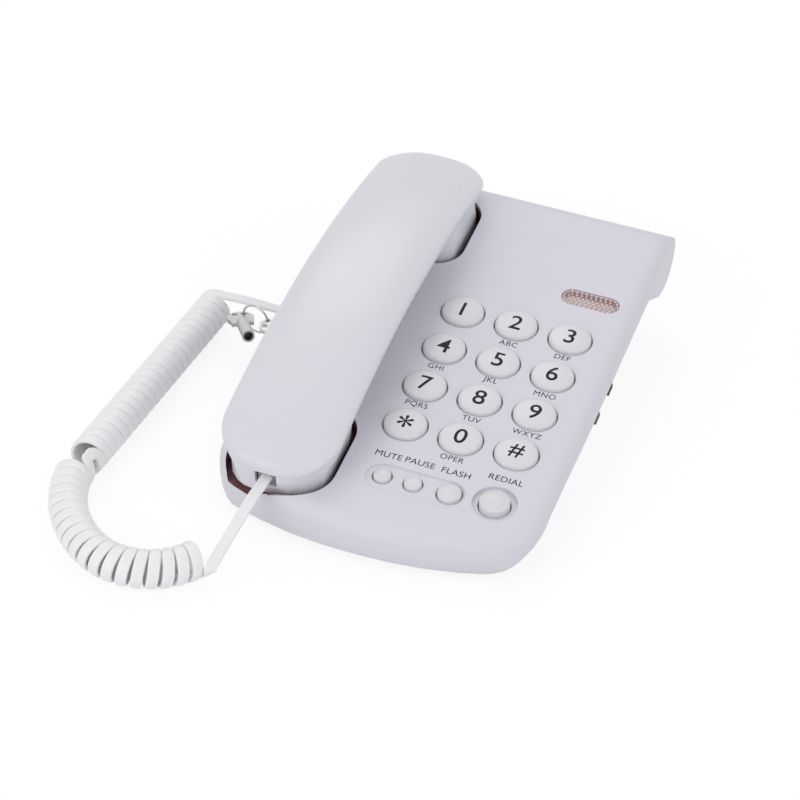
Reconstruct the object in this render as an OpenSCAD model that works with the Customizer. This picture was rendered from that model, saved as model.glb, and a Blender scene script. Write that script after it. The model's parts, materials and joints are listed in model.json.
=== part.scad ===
// Corded desk telephone: sloping base with twelve dial keys, four function buttons,
// a handset lying in two wells along the left side, a dial lock and a curly cord.
// X runs across the keypad, Y from the front edge to the rear roll, Z up from the desk.

/* [Base] */
// Width across the keypad
base_w = 135; // [125:1:165]
// Length from the front edge to the rear roll
base_l = 210; // [200:1:255]
// Height of the top panel at its front edge
front_h = 20.5; // [20:0.5:26]
// Slope of the top panel in degrees
panel_slope = 7.3; // [6:0.1:9]
// Wall of the moulded cover
cover_wall = 2.2; // [1.8:0.1:2.6]
// Wall of the lower case
tray_wall = 2; // [1.6:0.1:2.4]
// Radius of the front corners in plan
corner_r = 22; // [18:1:28]
// Radius of the bowed front edge
bow_r = 150; // [130:5:220]
// Radius of the soft edge round the panel
edge_r = 6; // [4:0.5:7]
// Radius of the rolled rear end
roll_r = 12.5; // [11:0.5:13]
// Depth of the side skirt below the panel
skirt_h = 8.8; // [8:0.1:9.5]
// Depth of the closed slab under the panel
slab_h = 15.5; // [15:0.5:16.5]

/* [Keys] */
// Distance between key columns
key_pitch_x = 23.4; // [22:0.1:25]
// Distance between key rows
key_pitch_y = 23.2; // [22:0.1:25]
// Width of a key hole
key_hole_w = 19; // [16:0.1:19.4]
// Height of a key hole
key_hole_h = 17.8; // [15:0.1:18.4]
// Gap round each key and button
key_gap = 0.7; // [0.4:0.05:0.9]
// Height of a key top above the panel
key_rise = 2.4; // [1.8:0.1:3]
// Travel of a key
key_travel = 1.5; // [1:0.1:1.6]

/* [Handset] */
// Length of the handset
handset_l = 199.5; // [190:0.5:242]
// Width of the handset at its middle
handset_w = 48.6; // [46:0.2:50]
// How much the handset widens from its middle to the mouth end
handset_taper = 1.4; // [0:0.1:2]
// Height of the grip's top above the panel
handset_top = 29; // [27:0.5:33]
// Wall of the handset shells
shell_wall = 2; // [1.6:0.1:2.4]
// Clearance round an earpiece or mouthpiece cup in its well
cup_gap = 2.4; // [1.5:0.1:3]

/* [Cord] */
// Width of the flat cord
cord_w = 4; // [3.6:0.1:4.2]
// Thickness of the flat cord
cord_t = 2.2; // [1.8:0.1:2.6]
// Outside diameter of the curls
coil_d = 15.8; // [14:0.2:17]

/* [Hidden] */
$fn = 48;

plastic = [0.86, 0.855, 0.895];
key_plastic = [0.9, 0.885, 0.9];
board_green = [0.12, 0.35, 0.2];
steel = [0.62, 0.62, 0.64];
dark = [0.1, 0.1, 0.11];
clear_grey = [0.8, 0.8, 0.82];
smoke = [0.62, 0.45, 0.44];
rubber_grey = [0.35, 0.35, 0.37];

slope_sin = sin(panel_slope);
slope_cos = cos(panel_slope);
slope_tan = tan(panel_slope);
front_y = -base_l / 2;
half_w = base_w / 2;
seat = 0.3;
through = 40;

// height of the panel plane above the desk at a depth y
function panel_z(y) = front_h + (y - front_y) * slope_tan;

// depth y and height z of a point v along the slope and w above the panel
function slope_y(v, w) = front_y + v * slope_cos - w * slope_sin;
function slope_z(v, w) = front_h + v * slope_sin + w * slope_cos;

module on_panel() {
    translate([0, front_y, front_h]) rotate([panel_slope, 0, 0]) children();
}

// a solid drawn as a side view, Y to the right and Z up, and as wide as asked
module side_solid(width) {
    translate([-width / 2, 0, 0]) rotate([90, 0, 90]) linear_extrude(height = width) children();
}

// a skin through rings of points, each ring with the same number of points
module skin(rings) {
    n = len(rings[0]);
    last = len(rings) - 1;
    faces = concat(
        [[for (i = [0 : n - 1]) i]],
        [for (k = [0 : last - 1], i = [0 : n - 1], half = [0, 1])
            half == 0
                ? [k * n + i, (k + 1) * n + i, (k + 1) * n + (i + 1) % n]
                : [k * n + i, (k + 1) * n + (i + 1) % n, k * n + (i + 1) % n]],
        [[for (i = [n - 1 : -1 : 0]) last * n + i]]);
    polyhedron(points = [for (ring = rings, p = ring) p], faces = faces, convexity = 6);
}

module oval(width, height) {
    straight = width - height;
    for (side = [-1, 1]) translate([side * straight / 2, 0]) circle(d = height);
    square([straight, height], center = true);
}

module round_plate(x0, x1, v0, v1, r) {
    hull() {
        for (x = [x0 + r, x1 - r], v = [v0 + r, v1 - r]) translate([x, v]) circle(r = r, $fn = 40);
    }
}

// ---- base outline ----
// the front left corner, beside the handset, is a little tighter than the right one
corner_left_r = corner_r - 4;
bow_y = front_y + bow_r;
function corner_x(r) = half_w - r;
function corner_y(r) = bow_y - sqrt(pow(bow_r - r, 2) - pow(corner_x(r), 2));
function corner_turn(r) = atan2(corner_x(r), bow_y - corner_y(r));
corner_steps = 6;
bow_steps = 8;
edge_steps = 5;
rear_y = base_l / 2;

// outline of the base seen from above, drawn in by a distance, anticlockwise from the rear right
function base_outline(inset) = concat(
    [[-half_w + inset, rear_y + roll_r]],
    [for (k = [0 : corner_steps])
        let (r = corner_left_r, a = 180 + k * (90 - corner_turn(r)) / corner_steps)
        [-corner_x(r) + (r - inset) * cos(a), corner_y(r) + (r - inset) * sin(a)]],
    [for (k = [1 : bow_steps - 1])
        let (first = corner_turn(corner_left_r), last = corner_turn(corner_r),
            a = 270 - first + k * (first + last) / bow_steps)
        [(bow_r - inset) * cos(a), bow_y + (bow_r - inset) * sin(a)]],
    [for (k = [0 : corner_steps])
        let (r = corner_r, a = 270 + corner_turn(r) + k * (90 - corner_turn(r)) / corner_steps)
        [corner_x(r) + (r - inset) * cos(a), corner_y(r) + (r - inset) * sin(a)]],
    [[half_w - inset, rear_y + roll_r]]);

// the front wall leans in towards its foot: height above the desk and how far in
front_lean = [[-1, 3.4], [3, 2.4], [6, 1.1], [10, 0.3]];
// share of that lean at the left side, where the wall spreads a little instead
left_lean = -0.25;

// outline of the cover's wall drawn in by a lean, fully on the right and barely on the left
function leaning_outline(inset, lean) =
    let (plain = base_outline(inset), drawn_in = base_outline(inset + lean))
    [for (k = [0 : len(plain) - 1])
        let (share = min(1, left_lean + (1 - left_lean) * (plain[k][0] + half_w) / half_w))
        plain[k] + share * (drawn_in[k] - plain[k])];

// the block that the cover is moulded round, with its leaning front and soft upper edge
module cover_block(wall) {
    r = edge_r - wall;
    feet = [for (lean = front_lean) [for (p = leaning_outline(wall, lean[1])) [p[0], p[1], lean[0]]]];
    edges = [for (k = [0 : edge_steps]) let (a = 90 * k / edge_steps)
        [for (p = base_outline(wall + r * (1 - cos(a))))
            [p[0], p[1], panel_z(p[1]) - (wall + r * (1 - sin(a))) / slope_cos]]];
    skin(concat(feet, edges));
}

// ---- side view of the base ----
roll_v = (base_l - roll_r * (1 + slope_sin)) / slope_cos;
roll_y = slope_y(roll_v, -roll_r);
roll_z = slope_z(roll_v, -roll_r);
lip_run = 28;
lip_y = roll_y - lip_run;
lip_turn = 8;
base_gap = 3;
tray_rear = lip_y;
seam_front = 11;
seam_drop = 17.5;

module side_outline(wall) {
    polygon([
        [slope_y(-through, -wall), slope_z(-through, -wall)],
        [front_y - through, -through],
        [roll_y, -through],
        [roll_y, roll_z],
        [slope_y(roll_v, -wall), slope_z(roll_v, -wall)]]);
    translate([roll_y, roll_z]) circle(r = roll_r - wall);
}

// height of the cover's lower edge at a depth y, from the front wall to the rear lip
function seam_z(y) = panel_z(y) - skirt_h;
seam_points = [
    [front_y + seam_front, base_gap],
    [front_y + seam_drop, base_gap + 8],
    [front_y + 1.45 * seam_drop, base_gap + 13.2],
    [front_y + 2 * seam_drop, base_gap + 16.2],
    [front_y + 3.1 * seam_drop, seam_z(front_y + 3.1 * seam_drop) + 2.4],
    [front_y + 4.4 * seam_drop, seam_z(front_y + 4.4 * seam_drop) + 0.4],
    [front_y + 5.2 * seam_drop, seam_z(front_y + 5.2 * seam_drop)]];

// everything below the cover's lower edge, raised by a distance
module below_seam(raise) {
    polygon(concat(
        [[front_y - through, -through], [front_y - through, base_gap + raise]],
        [for (p = seam_points) [p[0], p[1] + raise]],
        [[lip_y, seam_z(lip_y) + raise],
            [roll_y - lip_turn, roll_z - roll_r + 1.4 + raise],
            [roll_y, roll_z - roll_r + raise],
            [roll_y, -through]]));
}

// ---- places on the panel, x across and v up the slope ----
key_x0 = -0.9;
key_v1 = 126.6;
function key_x(i) = key_x0 + (i % 3) * key_pitch_x;
function key_v(i) = key_v1 - floor(i / 3) * key_pitch_y;

// function buttons: place across, place up the slope, cap diameter, height above the panel, sunk seat
button_v = 28;
mute_at = [0, button_v, 8.5, 1.2, 0];
pause_at = [12.8, button_v, 8.5, 1.2, 0];
flash_at = [28, button_v, 11, 1.5, 0];
redial_seat = 1.5;
redial_at = [46.3, 29.2, 13.6, 2.6, redial_seat];
buttons = [mute_at, pause_at, flash_at, redial_at];
button_bed_x = 13.9;
button_bed_w = 41;
button_bed_h = 14.4;
button_bed_depth = 0.7;
redial_dish_d = 18.2;

window_x = 46.7;
window_v = 152;
window_w = 25;
window_h = 9.4;
window_seat = 1.8;

grille_slots = 9;
grille_pitch = 4.9;
grille_v = 110.3;
grille_w = 2;
grille_x0 = -61;
grille_x1 = -22.7;

// ---- handset frame, cups and wells ----
handset_x = -39.5;
handset_turn = 1.5;
handset_v0 = 6;
handset_mid = handset_v0 + handset_l / 2;
part_w = 7.5;
part_arch = 15;
ear_cup = [-61.2, -15.4, 153.2, 193.5];
mouth_cup = [-60.3, -19.6, 8.2, 56];
ear_r = 10;
mouth_r = 13;
ear_depth = 8;
mouth_depth = 6.5;
well_floor_gap = 2.5;
ear_well_depth = ear_depth + well_floor_gap;
mouth_well_depth = mouth_depth + well_floor_gap;

module cup_plan(cup, r, grow) {
    round_plate(cup[0] - grow, cup[1] + grow, cup[2] - grow, cup[3] + grow, r + grow);
}

// ---- cover ----
key_flange = 1;
flange_t = 1.2;
post_d = 6.6;
screw_d = 2.9;
screw_play = 0.1;
// screw posts: two beside the keypad and window, one behind the mouth well, one in front of the ear well
post_places = [[half_w - 11.7, 22.18], [half_w - 11, 164.33], [11 - half_w, mouth_cup[3] + 19.61],
    [11 - half_w, ear_cup[2] - 11.05]];
post_foot = -8;
plunger_x = -36;
plunger_v = 157;
plunger_w = 9;
plunger_l = 6;
plunger_play = 0.3;

module top_cover() {
    color(plastic) difference() {
        union() {
            difference() {
                intersection() {
                    cover_block(0);
                    side_solid(2 * base_w) side_outline(0);
                }
                difference() {
                    intersection() {
                        cover_block(cover_wall);
                        side_solid(2 * base_w) side_outline(cover_wall);
                    }
                    side_solid(2 * base_w) difference() {
                        below_seam(cover_wall);
                        translate([lip_y - base_l, -through]) square([base_l, 3 * through]);
                    }
                }
            }
            on_panel() {
                translate([0, 0, -ear_well_depth - cover_wall])
                    linear_extrude(height = ear_well_depth + cover_wall - 0.5)
                        cup_plan(ear_cup, ear_r, cup_gap + cover_wall);
                translate([0, 0, -mouth_well_depth - cover_wall])
                    linear_extrude(height = mouth_well_depth + cover_wall - 0.5)
                        cup_plan(mouth_cup, mouth_r, cup_gap + cover_wall);
                for (p = post_places) translate([p[0], p[1], post_foot])
                    cylinder(d = post_d, h = -post_foot - 1);
                translate([redial_at[0], redial_at[1], -cover_wall - redial_seat])
                    cylinder(d = redial_dish_d + 2 * cover_wall, h = redial_seat + 1);
            }
        }
        side_solid(2 * base_w) below_seam(0);
        outside_cover();
        on_panel() cover_cuts();
    }
}

// trims whatever the wells would push out through the side of the cover
module outside_cover() {
    difference() {
        translate([-2 * base_w, -base_l, -through]) cube([4 * base_w, 2 * base_l, 4 * through]);
        cover_block(0);
    }
}

module cover_cuts() {
    for (i = [0 : 11]) translate([key_x(i), key_v(i), -through / 2])
        linear_extrude(height = through) oval(key_hole_w, key_hole_h);
    translate([0, 0, -ear_well_depth]) linear_extrude(height = through)
        cup_plan(ear_cup, ear_r, cup_gap);
    translate([0, 0, -mouth_well_depth]) linear_extrude(height = through)
        cup_plan(mouth_cup, mouth_r, cup_gap);
    translate([button_bed_x, button_v - 0.7, -button_bed_depth]) linear_extrude(height = through)
        oval(button_bed_w, button_bed_h);
    translate([redial_at[0], redial_at[1], -redial_seat]) cylinder(d = redial_dish_d, h = through);
    for (b = buttons) translate([b[0], b[1], -through / 2]) cylinder(d = b[2], h = through);
    translate([window_x, window_v, -through / 2]) linear_extrude(height = through)
        oval(window_w, window_h);
    for (k = [0 : grille_slots - 1])
        translate([(grille_x0 + grille_x1) / 2, grille_v + (k - (grille_slots - 1) / 2) * grille_pitch,
            -through / 2]) linear_extrude(height = through) oval(grille_x1 - grille_x0, grille_w);
    for (p = post_places) translate([p[0], p[1], post_foot - 1])
        cylinder(d = screw_d + screw_play, h = -post_foot - 2);
    translate([plunger_x, plunger_v, -ear_well_depth - cover_wall])
        cube([plunger_w + 2 * plunger_play, plunger_l + 2 * plunger_play, 3 * cover_wall], center = true);
}

// ---- lower case ----
rim_inset = cover_wall + seat;
tray_inset = 5;
rim_h = 3;
pedestal_w = 100;
pedestal_front = -84;
pedestal_rear = 61;
pedestal_r = 8;
foot_h = 1.5;
pod_y0 = -6;
pod_y1 = 34;
pod_inset = 3;
pod_bottom = 6;
lock_y = 4;
lock_z = 17;
lock_d = 11;
jack_y = 20;
jack_z = 14;
jack_body = [13, 11, 11];
wall_x = half_w - tray_inset;
keyhole_d = 8;
keyhole_neck = 4.2;
keyhole_run = 8;
keyhole_x = 0;
keyhole_y = [-58, 24.5];
line_jack_x = 20;
line_jack_z = 12;
line_jack_body = [15, 14, 13];
line_socket = [9.8, 12, 7];
switch_y = [12, -5.5];
switch_w = -11.9;
knob_l = 5.4;
knob_h = 2.6;
slide_half = 2.2;
foot_places = [[41, -75], [41, 51], [-41, -75], [-41, 51]];
foot_d = 12;

module base_plan(inset) {
    polygon(base_outline(inset));
}

module tray_block(inset) {
    intersection() {
        translate([0, 0, -1]) linear_extrude(height = 3 * through) intersection() {
            base_plan(inset);
            translate([-base_w, front_y - through])
                square([2 * base_w, tray_rear - front_y + through - inset + tray_inset]);
        }
        side_solid(2 * base_w) translate([front_y, front_h]) rotate(panel_slope)
            translate([-through, -slab_h + inset - tray_inset]) square([base_l + 2 * through, 3 * through]);
    }
}

module pedestal_block(inset) {
    translate([0, 0, foot_h + inset]) linear_extrude(height = through)
        round_plate(-pedestal_w / 2 + inset, pedestal_w / 2 - inset, pedestal_front + inset,
            pedestal_rear - inset, pedestal_r - inset);
}

module pod_block(inset) {
    translate([-half_w + pod_inset + inset, pod_y0 + inset, pod_bottom + inset])
        cube([half_w - pedestal_w / 2 + pod_inset, pod_y1 - pod_y0 - 2 * inset, through]);
}

module tray_walls() {
    difference() {
        union() {
            difference() {
                union() {
                    tray_block(tray_inset);
                    pedestal_block(0);
                    pod_block(0);
                }
                side_solid(2 * base_w) difference() {
                    translate([-base_l, -through]) square([2 * base_l, 4 * through]);
                    below_seam(-seat);
                }
            }
            intersection() {
                tray_block(rim_inset);
                cover_block(rim_inset);
                side_solid(2 * base_w) difference() {
                    below_seam(rim_h);
                    below_seam(-seat);
                }
                side_solid(2 * base_w) translate([front_y + rim_inset, 0])
                    square([tray_rear - front_y - rim_inset - seat, 3 * through]);
            }
        }
        tray_block(tray_inset + tray_wall);
        pedestal_block(tray_wall);
        pod_block(tray_wall);
        on_panel() {
            translate([0, 0, -ear_well_depth - cover_wall - seat]) linear_extrude(height = through)
                cup_plan(ear_cup, ear_r, cup_gap + cover_wall + seat);
            translate([0, 0, -mouth_well_depth - cover_wall - seat]) linear_extrude(height = through)
                cup_plan(mouth_cup, mouth_r, cup_gap + cover_wall + seat);
        }
    }
}

module lower_case() {
    color(plastic) difference() {
        union() {
            tray_walls();
            on_panel() for (p = post_places) translate([p[0], p[1], -slab_h])
                cylinder(d = post_d, h = slab_h + post_foot - seat);
            on_panel() for (p = board_posts) translate([p[0], p[1], -slab_h + 1])
                cylinder(d = board_post_d, h = slab_h - 1 + board_post_top);
            on_panel() translate([floor_post[0], floor_post[1], floor_post_foot])
                cylinder(d = board_post_d, h = board_post_top - floor_post_foot);
        }
        on_panel() for (p = post_places) {
            translate([p[0], p[1], -slab_h - 1]) cylinder(d = screw_d + screw_play, h = slab_h);
            translate([p[0], p[1], -slab_h - 1]) cylinder(d = screw_head_d + 0.6, h = screw_head_h + 1);
        }
        for (p = foot_places) translate([p[0], p[1], 0]) cylinder(d = foot_d + 0.4, h = foot_h + 1);
        for (y = keyhole_y) translate([keyhole_x, y, 0]) {
            cylinder(d = keyhole_d, h = foot_h + tray_wall + 1);
            translate([-keyhole_neck / 2, 0, 0]) cube([keyhole_neck, keyhole_run, foot_h + tray_wall + 1]);
            translate([0, keyhole_run, 0]) cylinder(d = keyhole_neck, h = foot_h + tray_wall + 1);
        }
        translate([line_jack_x, pedestal_rear - tray_wall, line_jack_z])
            cube([line_socket[0] + 1, 3 * tray_wall, line_socket[2] + 1], center = true);
        translate([-half_w + pod_inset, lock_y, lock_z]) rotate([0, 90, 0])
            cylinder(d = lock_d + 2 * plunger_play, h = 3 * tray_wall, center = true);
        translate([-half_w + pod_inset, jack_y, jack_z])
            cube([3 * tray_wall, plug_w + 1.2, plug_h + 1.2], center = true);
        for (y = switch_y) switch_place(y)
            translate([-tray_wall - 1, -knob_l / 2 - slide_half - seat, -knob_h / 2 - seat])
                cube([2 * tray_wall + 2, knob_l + 2 * slide_half + 2 * seat, knob_h + 2 * seat]);
    }
}

// the outer face of the right wall at a slide switch
module switch_place(y) {
    translate([wall_x, y, panel_z(y) + switch_w]) rotate([panel_slope, 0, 0]) children();
}

// ---- parts on the board ----
board_w = -9;
board_t = 1.6;
board_x0 = -12;
board_x1 = 52.5;
board_v0 = 16;
board_v1 = 162;
board_posts = [[-8, 20], [37, 20], [49, 136]];
floor_post = [-5, 152];
board_post_d = 5;
board_post_top = board_w - board_t - seat;
floor_post_foot = (foot_h + 1 - front_h - floor_post[1] * slope_sin) / slope_cos;
mat_t = 0.8;
mat_top = board_w + mat_t;
stem_d = 6;
stem_foot = mat_top + key_travel + 0.3;
ring_d = 9.6;
ring_play = 0.3;
ring_top = stem_foot + 0.5;

module main_board() {
    color(board_green) on_panel() difference() {
        translate([board_x0, board_v0, board_w - board_t])
            cube([board_x1 - board_x0, board_v1 - board_v0, board_t]);
        for (p = [post_places[0], post_places[1]]) translate([p[0], p[1], -through / 2])
            cylinder(d = post_d + 2, h = through);
    }
}

module mat_ring(x, v, sunk) {
    translate([x, v, mat_top]) difference() {
        cylinder(d = ring_d, h = ring_top - mat_top - sunk / 2);
        cylinder(d = stem_d + 2 * ring_play, h = through);
    }
}

module keypad_mat() {
    color(rubber_grey) on_panel() {
        translate([board_x0 + 1, board_v0 + 1, board_w]) cube([board_x1 - board_x0 - 1.5, 124, mat_t]);
        for (i = [0 : 11]) mat_ring(key_x(i), key_v(i), 0);
        for (b = buttons) mat_ring(b[0], b[1], b[4]);
    }
}

lamp_d = 5;
module ringer_lamp() {
    color("red") on_panel() translate([window_x, window_v, board_w]) {
        cylinder(d = lamp_d, h = 2.6);
        translate([0, 0, 2.6]) sphere(d = lamp_d);
        cylinder(d = lamp_d + 0.9, h = 0.9);
    }
}

module ringer_window() {
    flange_z = -cover_wall - seat;
    color(smoke) on_panel() translate([window_x, window_v, 0]) difference() {
        union() {
            translate([0, 0, flange_z - flange_t]) linear_extrude(height = flange_t)
                oval(window_w + 3, window_h + 3);
            translate([0, 0, flange_z - flange_t]) linear_extrude(height = flange_t - flange_z - 0.2)
                oval(window_w - 2 * seat, window_h - 2 * seat);
        }
        translate([0, 0, -window_seat]) linear_extrude(height = through)
            oval(window_w - 2.4, window_h - 2.4);
    }
}

buzzer_d = 22;
buzzer_h = 4.5;
buzzer_x = -34;
module ringer_buzzer() {
    color(dark) on_panel() translate([buzzer_x, grille_v, -cover_wall - seat - buzzer_h]) difference() {
        cylinder(d = buzzer_d, h = buzzer_h);
        translate([0, 0, buzzer_h - 1]) cylinder(d = buzzer_d - 4, h = 2);
        translate([0, 0, buzzer_h - 1.5]) cylinder(d = 3, h = 2);
    }
}

hook_travel = 3.6;
hook_flange = 1.2;
hook_top = -ear_depth - seat;
hook_flange_top = -ear_well_depth - cover_wall - hook_travel - 0.2;
hook_body_top = -ear_well_depth - cover_wall - seat;
hook_body = [14, 11, 7];

module hook_switch() {
    color(dark) on_panel() translate([plunger_x, plunger_v, hook_body_top]) difference() {
        translate([-hook_body[0] / 2, -hook_body[1] / 2, -hook_body[2]]) cube(hook_body);
        translate([-hook_body[0] / 2 + 1, -hook_body[1] / 2 + 1, -hook_body[2] + 1])
            cube([hook_body[0] - 2, hook_body[1] - 2, hook_body[2]]);
    }
}

module hook_plunger() {
    color(key_plastic) on_panel() translate([plunger_x, plunger_v, 0]) {
        translate([-plunger_w / 2, -plunger_l / 2, hook_flange_top - 0.1])
            cube([plunger_w, plunger_l, hook_top - hook_flange_top + 0.1]);
        translate([-plunger_w / 2 - 1, -plunger_l / 2 - 1, hook_flange_top - hook_flange])
            cube([plunger_w + 2, plunger_l + 2, hook_flange]);
    }
}

module line_jack() {
    color(dark) translate([line_jack_x, pedestal_rear - tray_wall - seat, line_jack_z]) difference() {
        translate([-line_jack_body[0] / 2, -line_jack_body[1], -line_jack_body[2] / 2])
            cube(line_jack_body);
        translate([-line_socket[0] / 2, -line_socket[1], -line_socket[2] / 2])
            cube([line_socket[0], line_socket[1] + 1, line_socket[2]]);
        translate([-2, -line_socket[1], -line_socket[2] / 2 - 1.5]) cube([4, line_socket[1] + 1, 2]);
    }
}

plug_w = 7.6;
plug_h = 5.9;
plug_l = 12;
plug_play = 0.15;

module cord_jack() {
    color(dark) translate([-half_w + pod_inset + tray_wall + seat, jack_y, jack_z]) difference() {
        translate([0, -jack_body[1] / 2, -jack_body[2] / 2]) cube(jack_body);
        translate([-1, -plug_w / 2 - plug_play, -plug_h / 2 - plug_play])
            cube([jack_body[0] - 0.5, plug_w + 2 * plug_play, plug_h + 2 * plug_play]);
    }
}

// a clear four-contact plug, its cord end at the origin and its nose along +X
module cord_plug() {
    difference() {
        translate([0, -plug_w / 2, -plug_h / 2]) cube([plug_l, plug_w, plug_h]);
        for (k = [-1.5 : 1.5]) translate([plug_l - 4, k * contact_pitch - 0.2, plug_h / 2 - 1.5])
            cube([5, 0.4, 2]);
    }
}

contact_pitch = 1.02;
base_plug_x = -half_w + pod_inset + tray_wall - 3;
module base_plug() {
    color(clear_grey) translate([base_plug_x, jack_y, jack_z]) rotate([180, 0, 0]) cord_plug();
}

// ---- dial lock and its keys ----
lock_flange_d = 14;
lock_flange_t = 1.5;
lock_face_x = -half_w + pod_inset - lock_flange_t;
lock_len = 13;
core_d = 7.6;
core_play = 0.08;
barrel_d = 5.4;
barrel_bore = 3.8;
barrel_len = 14;
bow_d = 11.5;
bow_t = 1.8;
key_in = 5;

module lock_barrel() {
    color(steel) translate([lock_face_x, lock_y, lock_z]) rotate([0, 90, 0]) difference() {
        union() {
            cylinder(d = lock_flange_d, h = lock_flange_t - 0.05);
            cylinder(d = lock_d, h = lock_len);
            translate([0, 0, lock_flange_t + tray_wall + seat]) cylinder(d = lock_flange_d, h = 2, $fn = 6);
        }
        translate([0, 0, -1]) cylinder(d = core_d + 2 * core_play, h = lock_len + 2);
    }
}

module lock_core() {
    color(steel) translate([lock_face_x + 0.5, lock_y, lock_z]) rotate([0, 90, 0]) difference() {
        union() {
            cylinder(d = core_d, h = lock_len);
            translate([-2, -2, lock_len - 0.1]) cube([9, 4, 1.5]);
        }
        translate([0, 0, -1]) difference() {
            cylinder(d = barrel_d + 0.4, h = key_in + 2);
            cylinder(d = barrel_bore - 0.8, h = key_in + 2);
        }
    }
}

// a tubular key, its barrel's open end at the origin and its bow along -X
module tube_key() {
    difference() {
        union() {
            translate([-barrel_len, 0, 0]) rotate([0, 90, 0]) cylinder(d = barrel_d, h = barrel_len);
            translate([-barrel_len - bow_d / 2 + 1.5, 0, -bow_t / 2]) {
                cylinder(d = bow_d, h = bow_t);
                translate([0, -bow_d / 2 + 1, 0]) cube([bow_d / 2, bow_d - 2, bow_t]);
            }
            translate([-barrel_len, 0, 0]) sphere(d = barrel_d);
        }
        translate([-barrel_len + 2, 0, 0]) rotate([0, 90, 0]) cylinder(d = barrel_bore, h = barrel_len);
        for (side = [-1, 1])
            translate([1.5 - barrel_len - bow_d + bow_hole_in, side * bow_hole_side, -bow_t])
                cylinder(d = bow_hole_d, h = 2 * bow_t);
    }
}

key_mouth_x = lock_face_x + 0.5 + key_in;
module lock_key() {
    color(steel) translate([key_mouth_x, lock_y, lock_z]) tube_key();
}

// middle of the spare key's bow, hanging out to the side of the lock and a little lower
spare_bow = [lock_face_x - 28.2, lock_y + 1.5, lock_z - 1.6];
spare_turn = [0, -13, -57];
bow_hole_d = 2.4;
bow_hole_in = 2.6;
bow_hole_side = 2;
module spare_key() {
    color(steel) translate(spare_bow) rotate(spare_turn)
        translate([barrel_len + bow_d / 2 - 1.5, 0, 0]) tube_key();
}

// a place on the spare key, given from the middle of its bow, after its turns
function spare_place(p) =
    let (b = spare_turn[1], c = spare_turn[2],
        q = [p[0] * cos(b) + p[2] * sin(b), p[1], p[2] * cos(b) - p[0] * sin(b)])
    spare_bow + [q[0] * cos(c) - q[1] * sin(c), q[0] * sin(c) + q[1] * cos(c), q[2]];

// the ring goes through one hole of each key
ring_wire = 0.9;
lock_hole = [key_mouth_x - barrel_len + 1.5 - bow_d + bow_hole_in, lock_y + bow_hole_side, lock_z];
spare_hole = spare_place([bow_hole_in - bow_d / 2, bow_hole_side, 0]);
ring_span = spare_hole - lock_hole;

module key_ring() {
    color(steel) translate(lock_hole + ring_span / 2)
        rotate([90, -asin(ring_span[2] / norm(ring_span)), atan2(ring_span[1], ring_span[0])])
            rotate_extrude($fn = 96) translate([norm(ring_span) / 2, 0]) circle(d = ring_wire);
}

// ---- slide switches ----
switch_body = [6, 14, 5.5];
switch_under = 1.5;
module slide_body(y) {
    switch_place(y) translate([-tray_wall - seat - switch_body[0], -switch_body[1] / 2, -switch_under])
        difference() {
            cube(switch_body);
            translate([2, 1, -1])
                cube([switch_body[0], switch_body[1] - 2, 1 + switch_under + knob_h / 2 + seat]);
        }
}

knob_out = 4.9;
knob_in = 3;
module slide_knob(y) {
    switch_place(y) translate([-tray_wall - seat - knob_in, -knob_l / 2, -knob_h / 2])
        cube([knob_in + seat + tray_wall + knob_out, knob_l, knob_h]);
}

module ringer_switch() {
    color(steel) slide_body(switch_y[0]);
}

module tone_switch() {
    color(steel) slide_body(switch_y[1]);
}

module ringer_slider() {
    color(dark) slide_knob(switch_y[0]);
}

module tone_slider() {
    color(dark) slide_knob(switch_y[1]);
}

module rubber_feet() {
    color(rubber_grey) for (p = foot_places) translate([p[0], p[1], 0])
        cylinder(d = foot_d, h = foot_h + 1);
}

screw_head_d = 5.4;
screw_head_h = 2.2;
screw_l = 12;
module base_screws() {
    color(steel) on_panel() for (p = post_places) translate([p[0], p[1], -slab_h + 0.3]) difference() {
        union() {
            cylinder(d = screw_head_d, h = screw_head_h - 0.3);
            cylinder(d = screw_d, h = screw_l);
        }
        for (a = [0, 90]) rotate(a) translate([-1.6, -0.4, -1]) cube([3.2, 0.8, 1.8]);
    }
}

// ---- keys and buttons ----
module key_cap(i) {
    flange_z = -cover_wall - seat;
    color(key_plastic) on_panel() translate([key_x(i), key_v(i), 0]) {
        intersection() {
            translate([0, 0, flange_z - flange_t]) linear_extrude(height = flange_t - flange_z + key_rise)
                oval(key_hole_w - 2 * key_gap, key_hole_h - 2 * key_gap);
            translate([0, 0, key_rise - key_dome_r]) sphere(r = key_dome_r, $fn = 96);
        }
        translate([0, 0, flange_z - flange_t]) linear_extrude(height = flange_t)
            oval(key_hole_w + 2 * key_flange, key_hole_h + 2 * key_flange);
        translate([0, 0, stem_foot]) cylinder(d = stem_d, h = flange_z - stem_foot);
    }
}

key_dome_r = 26;

module button_cap(b) {
    flange_z = -cover_wall - seat - b[4];
    color(key_plastic) on_panel() translate([b[0], b[1], 0]) {
        intersection() {
            translate([0, 0, flange_z - flange_t])
                cylinder(d = b[2] - 2 * key_gap, h = flange_t - flange_z + b[3]);
            translate([0, 0, b[3] - b[2]]) sphere(r = b[2], $fn = 96);
        }
        translate([0, 0, flange_z - flange_t]) cylinder(d = b[2] + 2 * key_flange, h = flange_t);
        translate([0, 0, stem_foot]) cylinder(d = stem_d, h = flange_z - stem_foot);
    }
}

// ---- handset ----
mouth_corner_r = 21;
ear_corner_r = 17;
grip_steps = 18;
crown_power = 2.2;
crown_steps = 9;
crown_flank = 0.6;
crown_arch = 1.7;
end_pull = 3.2;
corner_angles = [82, 68, 54, 40, 26, 12, 0];

module handset_frame() {
    on_panel() translate([handset_x, handset_mid, 0]) children();
}

// share of the way from the middle of the handset to its ends
function along(v) = 2 * v / handset_l;

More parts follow.
